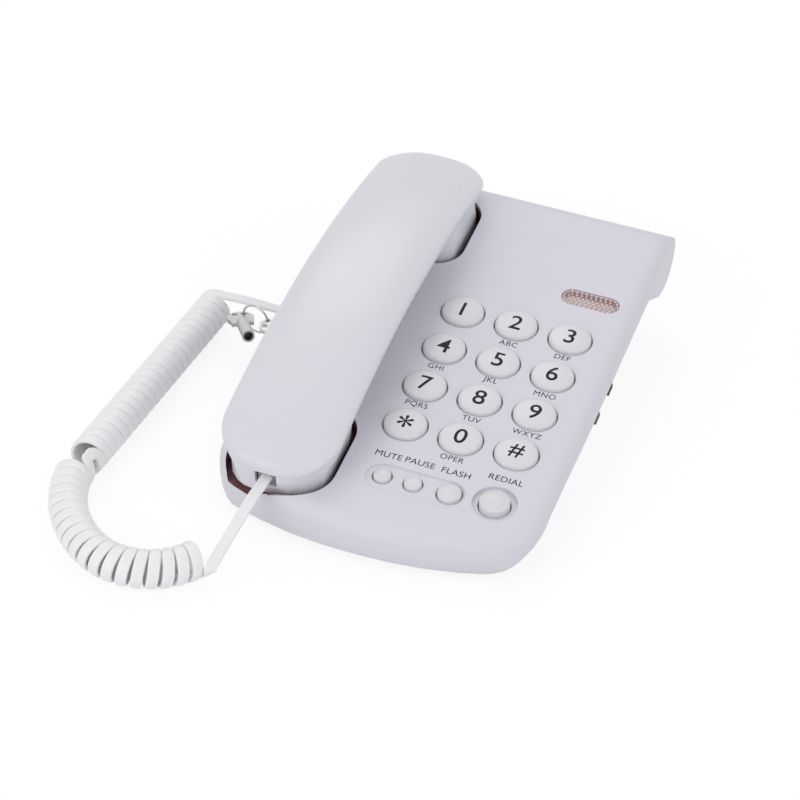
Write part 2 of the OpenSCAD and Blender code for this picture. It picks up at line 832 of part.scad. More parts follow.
// half the handset's width and the middle of it, at a distance from its middle
function half_width(v) = (handset_w - handset_taper * along(v)) / 2;
function axis_x(v) = handset_turn * along(v);

// height of the joint between the shells, highest at the middle of the grip
function part_line(v) = part_w + part_arch * (1 - pow(along(v), 2));

// height of the under side of the grip, which dips towards both ends
belly_drop = 4.5;
belly_dip = 1.5;
function belly(v) = part_line(v) - belly_drop - belly_dip * pow(along(v), 2);

// stations along the handset drawn in by a distance: place, half width and distance from the end
function stations(inset) =
    let (half = handset_l / 2 - inset, rm = mouth_corner_r - inset, re = ear_corner_r - inset,
        straight = 2 * half - rm - re,
        last = len(corner_angles) - 1)
    [for (s = concat(
        [for (a = corner_angles) [-half + rm * (1 - sin(a)), rm * (1 - cos(a))]],
        [for (k = [1 : grip_steps - 1]) [-half + rm + straight * k / grip_steps, 0]],
        [for (k = [last : -1 : 0]) let (a = corner_angles[k])
            [half - re * (1 - sin(a)), re * (1 - cos(a))]]))
        [s[0], half_width(s[0]) - inset - s[1], half - abs(s[0])]];

// outline of the handset seen from above, drawn in by a distance
function handset_outline(inset) =
    let (list = stations(inset), last = len(list) - 1)
    concat(
        [for (s = list) [axis_x(s[0]) + s[1], s[0]]],
        [for (k = [last : -1 : 0]) [axis_x(list[k][0]) - list[k][1], list[k][0]]]);

profile_steps = 24;
profile = [for (k = [0 : profile_steps]) (2 * k / profile_steps - 1) * (handset_l / 2 + 1)];

// how far the crown has risen at a distance from the end, 1 where it is full
function end_rise(d) = d >= end_pull ? 1 : pow(1 - pow(1 - d / end_pull, crown_power), 1 / crown_power);

// section of the crowned upper half at a station, drawn in by a wall
function crown_section(s, wall) =
    let (v = s[0], side_top = part_line(v) + crown_flank,
        full = handset_top - part_w - part_arch - crown_flank - crown_arch * pow(along(v), 2),
        rise = (full - wall) * end_rise(s[2]))
    concat(
        [[axis_x(v) - s[1], v, -wall]],
        [for (k = [-crown_steps : crown_steps]) let (a = 90 * k / crown_steps)
            [axis_x(v) + s[1] * sign(a) * pow(abs(sin(a)), 2 / crown_power), v,
                side_top + rise * pow(cos(a), 2 / crown_power)]],
        [[axis_x(v) + s[1], v, -wall]]);

module crown_block(wall) {
    skin([for (s = stations(wall)) crown_section(s, wall)]);
}

grip_post_d = 6.4;
module handset_top() {
    color(plastic) difference() {
        union() {
            handset_frame() difference() {
                intersection() {
                    crown_block(0);
                    side_solid(2 * handset_w) polygon(concat(
                        [for (v = profile) [v, part_line(v) + 0.1]],
                        [[handset_l, 2 * through], [-handset_l, 2 * through]]));
                }
                crown_block(shell_wall);
            }
            intersection() {
                on_panel() for (p = handset_posts) translate([p[0], p[1], grip_floor(p) + seat])
                    cylinder(d = grip_post_d, h = through);
                handset_frame() crown_block(shell_wall / 2);
            }
        }
        on_panel() for (p = handset_posts) translate([p[0], p[1], 0])
            cylinder(d = screw_d + screw_play, h = grip_floor(p) + handset_screw_l - shell_wall);
    }
}

// height of the floor inside the grip at a post
function grip_floor(p) = belly(p[1] - handset_mid) + shell_wall;

// the room of the lower shell: the grip and both cups, drawn in by a wall
module lower_half(wall, top) {
    intersection() {
        union() {
            handset_frame() side_solid(2 * handset_w) polygon(concat(
                [for (v = profile) [v, belly(v) + wall]],
                [for (k = [profile_steps : -1 : 0]) [profile[k], part_line(profile[k]) + top + 1]]));
            cup_body(ear_cup, ear_r, ear_depth, ear_flare, wall);
            cup_body(mouth_cup, mouth_r, mouth_depth, mouth_flare, wall);
        }
        handset_frame() {
            translate([0, 0, -through]) linear_extrude(height = 3 * through)
                polygon(handset_outline(shell_step + wall));
        }
        handset_frame() side_solid(2 * handset_w) polygon(concat(
            [for (v = profile) [v, part_line(v) + top]],
            [[handset_l, -through], [-handset_l, -through]]));
    }
}

shell_step = 1.5;
jack_notch_w = 9;
jack_notch_x = -1.8;
jack_notch_top = 6.2;

cup_turns = 5;
cup_top = part_w + part_arch;
ear_flare = 0.9;
mouth_flare = -0.7;

// outline of a cup at a height, drawn in by a distance
function cup_ring(cup, r, inset, w) = [for (corner = [0 : 3], k = [0 : cup_turns])
    let (a = 90 * (corner + k / cup_turns), q = max(r - inset, 1),
        x = corner == 0 || corner == 3 ? cup[1] - inset - q : cup[0] + inset + q,
        v = corner < 2 ? cup[3] - inset - q : cup[2] + inset + q)
    [x + q * cos(a), v + q * sin(a), w]];

// a cup that turns in softly at its foot and draws in by its flare up to the shell's joint
module cup_body(cup, r, depth, flare, wall) {
    on_panel() skin([
        cup_ring(cup, r, wall + 1.4, -depth + wall),
        cup_ring(cup, r, wall + 0.4, -depth + wall + 0.5),
        cup_ring(cup, r, wall, -depth + wall + 1.6),
        cup_ring(cup, r, wall, 0),
        cup_ring(cup, r, wall + flare, part_w),
        cup_ring(cup, r, wall + flare, cup_top)]);
}

ear_hole_d = 2.4;
mouth_hole_d = 1.8;
module handset_bottom() {
    color(plastic) difference() {
        lower_half(0, 0);
        lower_half(shell_wall, 1);
        on_panel() {
            translate([handset_x + jack_notch_x - jack_notch_w / 2, handset_v0 - 2, -1])
                cube([jack_notch_w, jack_v - handset_v0 + 2, jack_notch_top + 1]);
            translate([ear_x, ear_v, -through / 2]) cylinder(d = ear_hole_d, h = through / 2);
            for (k = [0 : 5]) rotate_about([ear_x, ear_v], 60 * k)
                translate([5, 0, -through / 2]) cylinder(d = ear_hole_d, h = through / 2);
            for (k = [-1, 0, 1]) translate([mouth_x + 4 * k, mouth_v, -through / 2])
                cylinder(d = mouth_hole_d, h = through / 2);
            for (p = handset_posts) translate([p[0], p[1], 0]) {
                cylinder(d = screw_d + screw_play, h = through);
                cylinder(d = screw_head_d + 0.6, h = belly(p[1] - handset_mid) + 0.8);
            }
        }
    }
}

module rotate_about(place, angle) {
    translate([place[0], place[1], 0]) rotate(angle) children();
}

ear_x = (ear_cup[0] + ear_cup[1]) / 2;
ear_v = (ear_cup[2] + ear_cup[3]) / 2;
mouth_x = (mouth_cup[0] + mouth_cup[1]) / 2;
mouth_v = (mouth_cup[2] + mouth_cup[3]) / 2 + 8;
handset_posts = [[handset_x, 70], [handset_x, 139]];
handset_screw_l = 8;
receiver_d = 30;
receiver_back_d = 18;
receiver_h = 6.5;
microphone_d = 9.7;
microphone_h = 4.5;
// the weight lies midway between the posts
weight_w = 16;
weight_l = 36;
weight_h = 3.6;
weight_v = (handset_posts[0][1] + handset_posts[1][1]) / 2;

module receiver_capsule() {
    color(dark) on_panel() translate([ear_x, ear_v, -ear_depth + shell_wall + seat]) {
        cylinder(d = receiver_d, h = 3);
        cylinder(d = receiver_back_d, h = receiver_h);
    }
}

module microphone_capsule() {
    color(steel) on_panel() translate([mouth_x, mouth_v, -mouth_depth + shell_wall + seat])
        cylinder(d = microphone_d, h = microphone_h);
}

module handset_weight() {
    color(steel) on_panel()
        translate([handset_x - weight_w / 2, weight_v - weight_l / 2, belly(0) + shell_wall + seat])
            cube([weight_w, weight_l, weight_h]);
}

jack_v = mouth_cup[2] + shell_wall + 0.1;
jack_w = 2.6;
module handset_jack() {
    color(dark) on_panel() translate([handset_x + jack_notch_x, jack_v, jack_w]) difference() {
        translate([-5.6, 0, -4.6]) cube([11.2, 13, 8.2]);
        translate([-plug_w / 2 - plug_play, -1, -plug_h / 2 - plug_play])
            cube([plug_w + 2 * plug_play, 12.5, plug_h + 2 * plug_play]);
    }
}

module handset_plug() {
    color(clear_grey) on_panel() translate(handset_plug_back) rotate([0, 0, 90]) cord_plug();
}

module handset_screws() {
    color(steel) on_panel() for (p = handset_posts)
        translate([p[0], p[1], belly(p[1] - handset_mid) - 0.4]) {
            cylinder(d = screw_head_d, h = 1);
            cylinder(d = screw_d, h = handset_screw_l);
        }
}

// ---- cord ----
// the coil lies on the desk along a straight and three arcs, each a length and a turn
coil_start = [-111, 19];
coil_heading = 266;
coil_runs = [[119, 0], [12, 16], [42, 46], [46, 92]];
upper_pitch = 5.6;
lower_pitch = 6.45;
coil_rings = 8;
upper_rings = 158;
lower_rings = 115;
coil_phase = 90;
coil_z = coil_d / 2 + 0.1;
coil_core = (coil_d - cord_t) / 2;
// where the curls change hand: turn and advance of each ring
hand_turns = [35, 20, 0, 0, -20, -35];
hand_steps = [1.5, 3, 4, 4, 3, 1.5];
hand_middle = upper_rings + 3;
section_sides = [[-0.5, 0], [-0.3, -0.5], [0.3, -0.5], [0.5, 0], [0.3, 0.5], [-0.3, 0.5]];

function sum_to(list, k) = k < 0 ? 0 : list[k] + sum_to(list, k - 1);

// point and heading a distance s along the coil's middle line, from run k
function run_point(p, heading, s, k = 0) =
    let (run = coil_runs[k], here = k == len(coil_runs) - 1 ? s : min(s, run[0]),
        turn = run[1] * here / run[0], r = run[1] == 0 ? 0 : run[0] / (run[1] * PI / 180),
        q = run[1] == 0
            ? p + here * [cos(heading), sin(heading)]
            : p + r * [sin(heading + turn) - sin(heading), cos(heading) - cos(heading + turn)])
    s <= run[0] || k == len(coil_runs) - 1
        ? [q, heading + turn]
        : run_point(q, heading + turn, s - run[0], k + 1);

ring_turn = 360 / coil_rings;
hand_count = len(hand_turns);
coil_count = upper_rings + hand_count + lower_rings;

// distance along and turn round the middle line of ring j
function ring_place(j) =
    j <= upper_rings ? [j * upper_pitch / coil_rings, coil_phase + j * ring_turn]
    : j <= upper_rings + hand_count
        ? [upper_rings * upper_pitch / coil_rings + sum_to(hand_steps, j - upper_rings - 1),
            coil_phase + upper_rings * ring_turn + sum_to(hand_turns, j - upper_rings - 1)]
        : let (k = j - upper_rings - hand_count, end = ring_place(upper_rings + hand_count))
            [end[0] + k * lower_pitch / coil_rings, end[1] - k * ring_turn];

// outward direction of ring j, and the middle of the cord there
function ring_out(j) =
    let (place = ring_place(j), at = run_point(coil_start, coil_heading, place[0]))
    [-sin(at[1]) * cos(place[1]), cos(at[1]) * cos(place[1]), sin(place[1])];
function ring_middle(j) =
    let (place = ring_place(j), at = run_point(coil_start, coil_heading, place[0]))
    [at[0][0], at[0][1], coil_z] + coil_core * ring_out(j);

function unit(a) = a / norm(a);

// a flat six-sided ring of the cord at a point, square to its run, with its outward side given
function cord_ring(p, run, out) =
    let (along = unit(cross(unit(run), out)), up = unit(cross(along, unit(run))))
    [for (q = section_sides) p + q[0] * cord_w * along + q[1] * cord_t * up];

coil_middles = [for (j = [0 : coil_count]) ring_middle(j)];
coil_outs = [for (j = [0 : coil_count]) ring_out(j)];
function coil_run(j) = coil_middles[min(j + 1, coil_count)] - coil_middles[max(j - 1, 0)];

// the first and last rings leave the curls straight, square to the cord they meet
function side_run(j) =
    let (at = run_point(coil_start, coil_heading, ring_place(j)[0]), a = ring_place(j)[1])
    [sin(at[1]) * sin(a), -cos(at[1]) * sin(a), cos(a)];
coil_in = coil_middles[0] - cord_w * side_run(0);
coil_out = coil_middles[coil_count] - cord_w * side_run(coil_count);

function coil_ring_at(j) = cord_ring(coil_middles[j], coil_run(j), coil_outs[j]);
rear_rings = concat(
    [cord_ring(coil_in, side_run(0), coil_outs[0]), cord_ring(coil_middles[0], side_run(0), coil_outs[0])],
    [for (j = [1 : hand_middle]) coil_ring_at(j)]);
front_rings = concat(
    [for (j = [hand_middle : coil_count - 1]) coil_ring_at(j)],
    [cord_ring(coil_middles[coil_count], -side_run(coil_count), coil_outs[coil_count]),
        cord_ring(coil_out, -side_run(coil_count), coil_outs[coil_count])]);

// a closed tube through rings of points, all faces triangles
module tube(rings) {
    n = len(rings[0]);
    last = len(rings) - 1;
    faces = concat(
        [for (i = [1 : n - 2]) [0, i, i + 1]],
        [for (k = [0 : last - 1], i = [0 : n - 1], half = [0, 1])
            half == 0
                ? [k * n + i, (k + 1) * n + i, (k + 1) * n + (i + 1) % n]
                : [k * n + i, (k + 1) * n + (i + 1) % n, k * n + (i + 1) % n]],
        [for (i = [1 : n - 2]) [last * n, last * n + i + 1, last * n + i]]);
    polyhedron(points = [for (ring = rings, p = ring) p], faces = faces, convexity = 10);
}

// distance from a point to the stretch between two points
function stretch_gap(p, a, b) =
    let (f = min(1, max(0, (p - a) * (b - a) / ((b - a) * (b - a))))) norm(p - a - f * (b - a));

// least distance between the edges of neighbouring curls
function coil_gap(rings) = min([for (j = [0 : len(rings) - 13], k = [5 : 11], a = [0 : 5], b = [0 : 5])
    stretch_gap(rings[j][a], rings[j + k][b], rings[j + k + 1][b])]);

// route points of the two plain stretches
base_tail_route = [[-76, 20, 14], [-84, 20, 14], [-92, 20, 14.2], [-100, 19.6, 14.6]];
handset_tail_route = [[-46.9, -140, 9], [-46.3, -134, 11.6], [-45.6, -126, 13.8], [-44.6, -116, 16.8],
    [-43.4, -107, 20.2], [-42.5, -103.7, 21.9]];

module cord_base_tail() {
    start = [base_plug_x, jack_y, jack_z];
    points = concat([start, start - [cord_w, 0, 0]], base_tail_route, [coil_in]);
    last = len(points) - 1;
    rings = [for (k = [0 : last])
        let (run = k <= 1 ? [-1, 0, 0] : k == last ? side_run(0) : points[k + 1] - points[k - 1])
        cord_ring(points[k], run, k == last ? coil_outs[0] : [0, 0, 1])];
    color(plastic) tube(rings);
}

module coil_rear() {
    echo(least_gap_between_rear_curls = coil_gap(rear_rings));
    color(plastic) tube(rear_rings);
}

module coil_front() {
    echo(least_gap_between_front_curls = coil_gap(front_rings));
    color(plastic) tube(front_rings);
}

handset_plug_back = [handset_x + jack_notch_x, jack_v - 1, jack_w];
module cord_handset_tail() {
    back_v = handset_plug_back[1];
    end = [handset_plug_back[0], slope_y(back_v, jack_w), slope_z(back_v, jack_w)];
    inward = [0, slope_cos, slope_sin];
    points = concat([coil_out], handset_tail_route, [end - 4 * inward, end]);
    last = len(points) - 1;
    start_out = coil_outs[coil_count];
    rings = [for (k = [0 : last])
        let (run = k == 0 ? -side_run(coil_count) : k >= last - 1 ? inward : points[k + 1] - points[k - 1],
            f = min(1, k / 3), out = (1 - f) * start_out + f * [0, -slope_sin, slope_cos])
        cord_ring(points[k], run, out)];
    color(plastic) tube(rings);
}

top_cover();
lower_case();
ringer_window();
ringer_lamp();
main_board();
keypad_mat();
ringer_buzzer();
hook_switch();
line_jack();
cord_jack();
lock_barrel();
ringer_switch();
tone_switch();
rubber_feet();
base_screws();
base_plug();
cord_base_tail();
coil_rear();
coil_front();
cord_handset_tail();
key_cap(0);  // key_1
key_cap(1);  // key_2
key_cap(2);  // key_3
key_cap(3);  // key_4
key_cap(4);  // key_5
key_cap(5);  // key_6
key_cap(6);  // key_7
key_cap(7);  // key_8
key_cap(8);  // key_9
key_cap(9);  // key_star
key_cap(10);  // key_0
key_cap(11);  // key_hash
button_cap(mute_at);  // mute_button
button_cap(pause_at);  // pause_button
button_cap(flash_at);  // flash_button
button_cap(redial_at);  // redial_button
hook_plunger();
ringer_slider();
tone_slider();
lock_core();
lock_key();
key_ring();
spare_key();
handset_top();
handset_bottom();
receiver_capsule();
microphone_capsule();
handset_weight();
handset_jack();
handset_screws();
handset_plug();
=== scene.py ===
# Desk telephone: cord, shells, caps, print, finishes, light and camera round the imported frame.
import json
import math
import bpy
import bmesh
from mathutils import Matrix, Vector


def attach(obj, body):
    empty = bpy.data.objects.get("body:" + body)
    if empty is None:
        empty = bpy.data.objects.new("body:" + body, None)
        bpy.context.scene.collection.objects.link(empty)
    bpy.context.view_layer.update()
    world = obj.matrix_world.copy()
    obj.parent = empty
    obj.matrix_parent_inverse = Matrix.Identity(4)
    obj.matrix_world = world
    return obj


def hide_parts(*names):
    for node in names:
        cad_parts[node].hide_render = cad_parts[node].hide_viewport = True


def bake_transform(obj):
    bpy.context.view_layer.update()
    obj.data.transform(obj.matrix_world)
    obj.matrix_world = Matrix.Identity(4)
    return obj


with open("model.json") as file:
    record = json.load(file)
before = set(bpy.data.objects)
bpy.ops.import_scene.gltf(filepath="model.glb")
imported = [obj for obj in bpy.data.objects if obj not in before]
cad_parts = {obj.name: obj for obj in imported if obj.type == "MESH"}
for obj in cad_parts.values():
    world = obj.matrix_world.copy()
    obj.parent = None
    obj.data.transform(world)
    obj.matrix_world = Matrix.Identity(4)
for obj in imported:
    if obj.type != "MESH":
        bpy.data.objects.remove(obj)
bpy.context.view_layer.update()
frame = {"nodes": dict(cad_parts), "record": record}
print("frame loaded:", len(frame["nodes"]), "parts")

# the sloping top panel: its front edge, height there and slope
panel = {"front": -105.0, "height": 20.5, "slope": 7.3}
slopeSin = math.sin(math.radians(panel["slope"]))
slopeCos = math.cos(math.radians(panel["slope"]))


def onPanel(x, v, w=0.0):
    # x across, v up the slope, w out of the panel, all in mm
    return Vector((x, panel["front"] + v * slopeCos - w * slopeSin,
                   panel["height"] + v * slopeSin + w * slopeCos)) / 1000


# camera: its turn and height round the telephone, its lean, distance and lens
view = {"azimuth": 17.65, "height": 38.39, "roll": 3.71, "distance": 1.18488,
        "lens": 130.46, "sensor": 36, "nearest": 0.05, "lookAt": (-0.01137, -0.02486, 0.02)}


def addCamera():
    a, e, r = (math.radians(view[k]) for k in ("azimuth", "height", "roll"))
    back = Vector((math.sin(a) * math.cos(e), -math.cos(a) * math.cos(e), math.sin(e)))
    right = Vector((math.cos(a), math.sin(a), 0))
    up = back.cross(right)
    right, up = right * math.cos(r) + up * math.sin(r), up * math.cos(r) - right * math.sin(r)
    data = bpy.data.cameras.new("studioCamera")
    data.sensor_fit = "HORIZONTAL"
    data.sensor_width = view["sensor"]
    data.lens = view["lens"]
    data.clip_start = view["nearest"]
    camera = bpy.data.objects.new("studioCamera", data)
    camera.matrix_world = Matrix.Translation(Vector(view["lookAt"]) + back * view["distance"]) @ \
        Matrix((right, up, back)).transposed().to_4x4()
    bpy.context.scene.collection.objects.link(camera)
    bpy.context.scene.camera = camera


addCamera()
print("camera placed")


# mesh helpers
def meshPiece(name, points, faces, smooth=True):
    data = bpy.data.meshes.new(name)
    data.from_pydata([tuple(p) for p in points], [], faces)
    data.update()
    piece = bpy.data.objects.new(name, data)
    bpy.context.scene.collection.objects.link(piece)
    bm = bmesh.new()
    bm.from_mesh(data)
    bmesh.ops.recalc_face_normals(bm, faces=bm.faces)
    bm.to_mesh(data)
    bm.free()
    for face in data.polygons:
        face.use_smooth = smooth
    return piece


def ringFaces(count, around, capFirst=True, capLast=True):
    faces = [(k * around + i, k * around + (i + 1) % around,
              (k + 1) * around + (i + 1) % around, (k + 1) * around + i)
             for k in range(count - 1) for i in range(around)]
    if capFirst:
        faces.append(tuple(range(around - 1, -1, -1)))
    if capLast:
        faces.append(tuple((count - 1) * around + i for i in range(around)))
    return faces


softening = {"weld": 1e-6, "flat": 0.4}


def softEdges(piece, width, angle, segments):
    # welds a part, clears flat splits, rounds its sharp edges a little and shades it smooth
    custom = piece.data.attributes.get("custom_normal")
    if custom:
        piece.data.attributes.remove(custom)
    for face in piece.data.polygons:
        face.use_smooth = True
    weld = piece.modifiers.new("join", "WELD")
    weld.merge_threshold = softening["weld"]
    flat = piece.modifiers.new("flat", "DECIMATE")
    flat.decimate_type = "DISSOLVE"
    flat.angle_limit = math.radians(softening["flat"])
    bevel = piece.modifiers.new("round", "BEVEL")
    bevel.limit_method = "ANGLE"
    bevel.angle_limit = math.radians(angle)
    bevel.width = width / 1000
    bevel.segments = segments
    bevel.use_clamp_overlap = True
    bevel.harden_normals = True
    bevel.miter_outer = "MITER_ARC"


# the cord: a tail from the base, curls that change hand at the bend, a tail to the handset
cord = {"width": 4.7, "thickness": 2.1, "around": 40, "outside": 15.8, "start": (-111.0, 19.0),
        "heading": 266.0, "runs": [(119, 0), (12, 16), (42, 46), (46, 92)],   # length and turn of each stretch
        "run": 220.3, "rearPitch": 4.85, "rearSteps": 190, "frontSteps": 155, "steps": 8,
        "handTurns": [35, 20, 0, 0, -20, -35], "handSteps": [0.8, 1.7, 2.3, 2.3, 1.7, 0.8], "phase": 90,
        "cores": 4, "groove": 0.16, "sideRound": 0.8, "faceFlat": 0.5, "closest": 0.96, "narrowest": 0.6,
        "solidWidth": 4.0, "solidThickness": 2.2, "offDesk": 0.1, "finer": 4, "baseParts": 3, "risingParts": 5,
        "turnedFlat": 8,                                    # points over which the rising tail turns flat
        "baseTail": [(-65.5, 20, 14), (-69.5, 20, 14), (-76, 20, 14), (-84, 20, 14), (-92, 20, 14.2),
                     (-100, 19.6, 14.6)],
        "handsetTail": [(-46.9, -140, 9), (-46.3, -134, 11.6), (-45.6, -126, 13.8), (-44.6, -116, 16.8),
                        (-43.4, -107, 20.2), (-42.2, -101.4, 22.4)],
        "plugBack": (-41.3, 12.849, 2.6), "intoPlug": 4}


def curlMiddle(s):
    # point and heading at a distance s along the middle line of the coil
    x, y = cord["start"]
    heading = math.radians(cord["heading"])
    for k, (length, turn) in enumerate(cord["runs"]):
        here = s if k == len(cord["runs"]) - 1 else min(s, length)
        bend = math.radians(turn) * here / length
        if turn == 0:
            x, y = x + here * math.cos(heading), y + here * math.sin(heading)
        else:
            r = length / math.radians(turn)
            x, y = (x + r * (math.sin(heading + bend) - math.sin(heading)),
                    y + r * (math.cos(heading) - math.cos(heading + bend)))
        heading += bend
        s -= here
        if s <= 1e-9:
            break
    return x, y, heading


def curlSteps():
    # distance along and turn round the middle line at every step of the curls
    places = [(0.0, cord["phase"])]
    turn = 360 / cord["steps"]
    for _ in range(cord["rearSteps"]):
        places.append((places[-1][0] + cord["rearPitch"] / cord["steps"], places[-1][1] + turn))
    for step, bend in zip(cord["handSteps"], cord["handTurns"]):
        places.append((places[-1][0] + step, places[-1][1] + bend))
    step = (cord["run"] - places[-1][0]) / cord["frontSteps"]
    for _ in range(cord["frontSteps"]):
        places.append((places[-1][0] + step, places[-1][1] - turn))
    return places


def smoothThrough(points, parts):
    # a curve through points, with the given number of parts between each two
    found = []
    for k in range(len(points) - 1):
        a, b = Vector(points[k]), Vector(points[k + 1])
        before = Vector(points[k - 1]) if k else a * 2 - b
        after = Vector(points[k + 2]) if k + 2 < len(points) else b * 2 - a
        for i in range(parts):
            t = i / parts
            found.append(0.5 * ((2 * a) + (b - before) * t + (2 * before - 5 * a + 4 * b - after) * t * t
                                + (3 * a - before - 3 * b + after) * t ** 3))
    found.append(Vector(points[-1]))
    return found


def curlPoint(s, turn):
    # middle of the cord and its outward side, at a distance and a turn
    x, y, heading = curlMiddle(s)
    a = math.radians(turn)
    out = Vector((-math.sin(heading) * math.cos(a), math.cos(heading) * math.cos(a), math.sin(a)))
    core = (cord["outside"] - cord["solidThickness"]) / 2
    return Vector((x, y, cord["outside"] / 2 + cord["offDesk"])) + out * core, out


def curlSide(s, turn):
    x, y, heading = curlMiddle(s)
    a = math.radians(turn)
    return Vector((math.sin(heading) * math.sin(a), -math.cos(heading) * math.sin(a), math.cos(a)))


def curlLine():
    # middle points and outward sides along all the curls, with straight ends where the tails join
    places = smoothThrough([(s, turn, 0) for s, turn in curlSteps()], cord["finer"])
    line = [curlPoint(p[0], p[1]) for p in places]
    first, last = curlSteps()[0], curlSteps()[-1]
    start = line[0][0] - curlSide(*first) * cord["solidWidth"]
    end = line[-1][0] - curlSide(*last) * cord["solidWidth"]
    return start, line, end


def curlWidths(middles):
    # the cord draws in where neighbouring curls crowd together on the inner side of a bend
    turn = cord["steps"] * cord["finer"]
    widths = []
    for k, middle in enumerate(middles):
        gaps = [(middle - middles[n]).length for n in (k - turn, k + turn) if 0 <= n < len(middles)]
        room = min([1.0] + [gap * cord["closest"] / cord["width"] for gap in gaps])
        widths.append(max(cord["narrowest"], room))
    return widths


def cordSection():
    # flat cord with round edges, its faces waved by the cores inside
    found = []
    for k in range(cord["around"]):
        a = 2 * math.pi * k / cord["around"]
        c, d = math.cos(a), math.sin(a)
        x = math.copysign(abs(c) ** cord["sideRound"], c)
        wave = cord["groove"] * (1 - math.cos(math.pi * cord["cores"] * (x + 1))) / 2
        half = cord["thickness"] / 2 - cord["groove"] + wave
        found.append((x * cord["width"] / 2, math.copysign(abs(d) ** cord["faceFlat"] * half, d)))
    return found


def cordMesh(name, middles, outs, widths=None):
    section = cordSection()
    points = []
    for k, (middle, out) in enumerate(zip(middles, outs)):
        run = (middles[min(k + 1, len(middles) - 1)] - middles[max(k - 1, 0)]).normalized()
        along = run.cross(out).normalized() * (widths[k] if widths else 1)
        up = along.cross(run).normalized()
        points += [(middle + along * q[0] + up * q[1]) / 1000 for q in section]
    return meshPiece(name, points, ringFaces(len(middles), len(section)))


def lengthOf(points):
    return sum((b - a).length for a, b in zip(points, points[1:])) / 1000


def blendOuts(first, last, count, turned):
    # outward sides that go from the first to the last over a number of points
    shares = [min(1, k / turned) for k in range(count)]
    return [(first * (1 - share) + last * share).normalized() for share in shares]


def makeCord():
    start, curls, end = curlLine()
    tail = smoothThrough([Vector(p) for p in cord["baseTail"]] + [start], cord["baseParts"])[:-1]
    middles = tail + [start] + [p for p, _ in curls] + [end]
    outs = blendOuts(Vector((0, 0, 1)), curls[0][1], len(tail) + 1, len(tail))
    outs += [o for _, o in curls] + [curls[-1][1]]
    drawn = curlWidths([p for p, _ in curls])
    curly = cordMesh("curlyCord", middles, outs, [1.0] * (len(tail) + 1) + drawn + [1.0])
    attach(curly, "base")
    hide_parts("cord_base_tail", "coil_rear", "coil_front")

    x, v, w = cord["plugBack"]
    back = onPanel(x, v, w) * 1000
    inward = Vector((0, slopeCos, slopeSin))
    rise = [end] + [Vector(p) for p in cord["handsetTail"]] + [back - inward * cord["intoPlug"], back]
    rise = smoothThrough(rise, cord["risingParts"])
    outs = blendOuts(curls[-1][1], Vector((0, -slopeSin, slopeCos)), len(rise), cord["turnedFlat"])
    lifted = cordMesh("handsetCord", rise, outs)
    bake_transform(lifted)
    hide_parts("cord_handset_tail")
    print("cord made:", round(lengthOf(middles) + lengthOf(rise), 3), "m")
    return curly, lifted


curlyCord, handsetCord = makeCord()


# handset: the crowned upper shell
handset = {"length": 199.5, "width": 48.6, "taper": 1.4, "x": -39.5, "start": 6.0, "turn": 1.5,
           "mouthCorner": 21.0, "earCorner": 17.0, "joint": 7.5, "jointArch": 15.0, "flank": 0.6,
           "top": 29.0, "topArch": 1.7, "power": 2.2, "endPull": 3.2, "edge": 0.3, "edgeRound": 0.3,
           "seam": 0.1, "cornerEase": 1.15, "cornerSteps": 20, "gripSteps": 34, "crownSteps": 16}


def handsetStations():
    # place along the handset, half width there and distance from the nearer end
    half, mouth, ear = handset["length"] / 2, handset["mouthCorner"], handset["earCorner"]
    corner, grip = handset["cornerSteps"], handset["gripSteps"]
    straight = 2 * half - mouth - ear
    turns = [math.radians(90 * (1 - k / corner) ** handset["cornerEase"]) for k in range(corner + 1)]
    places = [(-half + mouth * (1 - math.sin(a)), mouth * (1 - math.cos(a))) for a in turns]
    places += [(-half + mouth + straight * k / grip, 0.0) for k in range(1, grip)]
    places += [(half - ear * (1 - math.sin(a)), ear * (1 - math.cos(a))) for a in reversed(turns)]
    return [(v, (handset["width"] - handset["taper"] * v / half) / 2 - inset, half - abs(v))
            for v, inset in places]


def jointHeight(v):
    return handset["joint"] + handset["jointArch"] * (1 - (2 * v / handset["length"]) ** 2)


def handsetSection(v, halfWidth, fromEnd):
    # one ring across the upper shell: flat below, a small flank, then the crown
    share = 2 * v / handset["length"]
    power, foot = handset["power"], jointHeight(v)
    rise = handset["top"] - handset["joint"] - handset["jointArch"] - handset["flank"]
    rise -= handset["topArch"] * share ** 2
    pull = min(1.0, fromEnd / handset["endPull"])
    rise *= (1 - (1 - pull) ** power) ** (1 / power)
    edge, low = handset["edge"], foot + handset["seam"]
    soft = edge * handset["edgeRound"]
    ring = [(-halfWidth + edge, low), (-halfWidth + soft, low + soft), (-halfWidth, low + edge)]
    for k in range(-handset["crownSteps"], handset["crownSteps"] + 1):
        a = math.radians(90 * k / handset["crownSteps"])
        ring.append((halfWidth * math.copysign(abs(math.sin(a)) ** (2 / power), a),
                     foot + handset["flank"] + rise * max(math.cos(a), 0) ** (2 / power)))
    ring += [(-x, w) for x, w in reversed(ring[:3])]
    middle = handset["x"] + handset["turn"] * share
    return [(middle + x, handset["start"] + handset["length"] / 2 + v, w) for x, w in ring]


def makeHandsetTop():
    rings = [handsetSection(*station) for station in handsetStations()]
    points = [onPanel(*p) for ring in rings for p in ring]
    shell = meshPiece("handsetShell", points, ringFaces(len(rings), len(rings[0])))
    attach(shell, "handset")
    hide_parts("handset_top")
    return shell


handsetShell = makeHandsetTop()
print("handset shell made")


# lining of the mouth well's outer wall, where the shell is lowest; it takes the cover's finish, so its face
# towards the well carries the painted well shade
lining = {"wall": -62.76, "corner": 15.4, "front": 5.74, "to": 44.0, "turn": 25, "thick": 0.5, "top": -4.6,
          "foot": -11.0, "steps": 26}


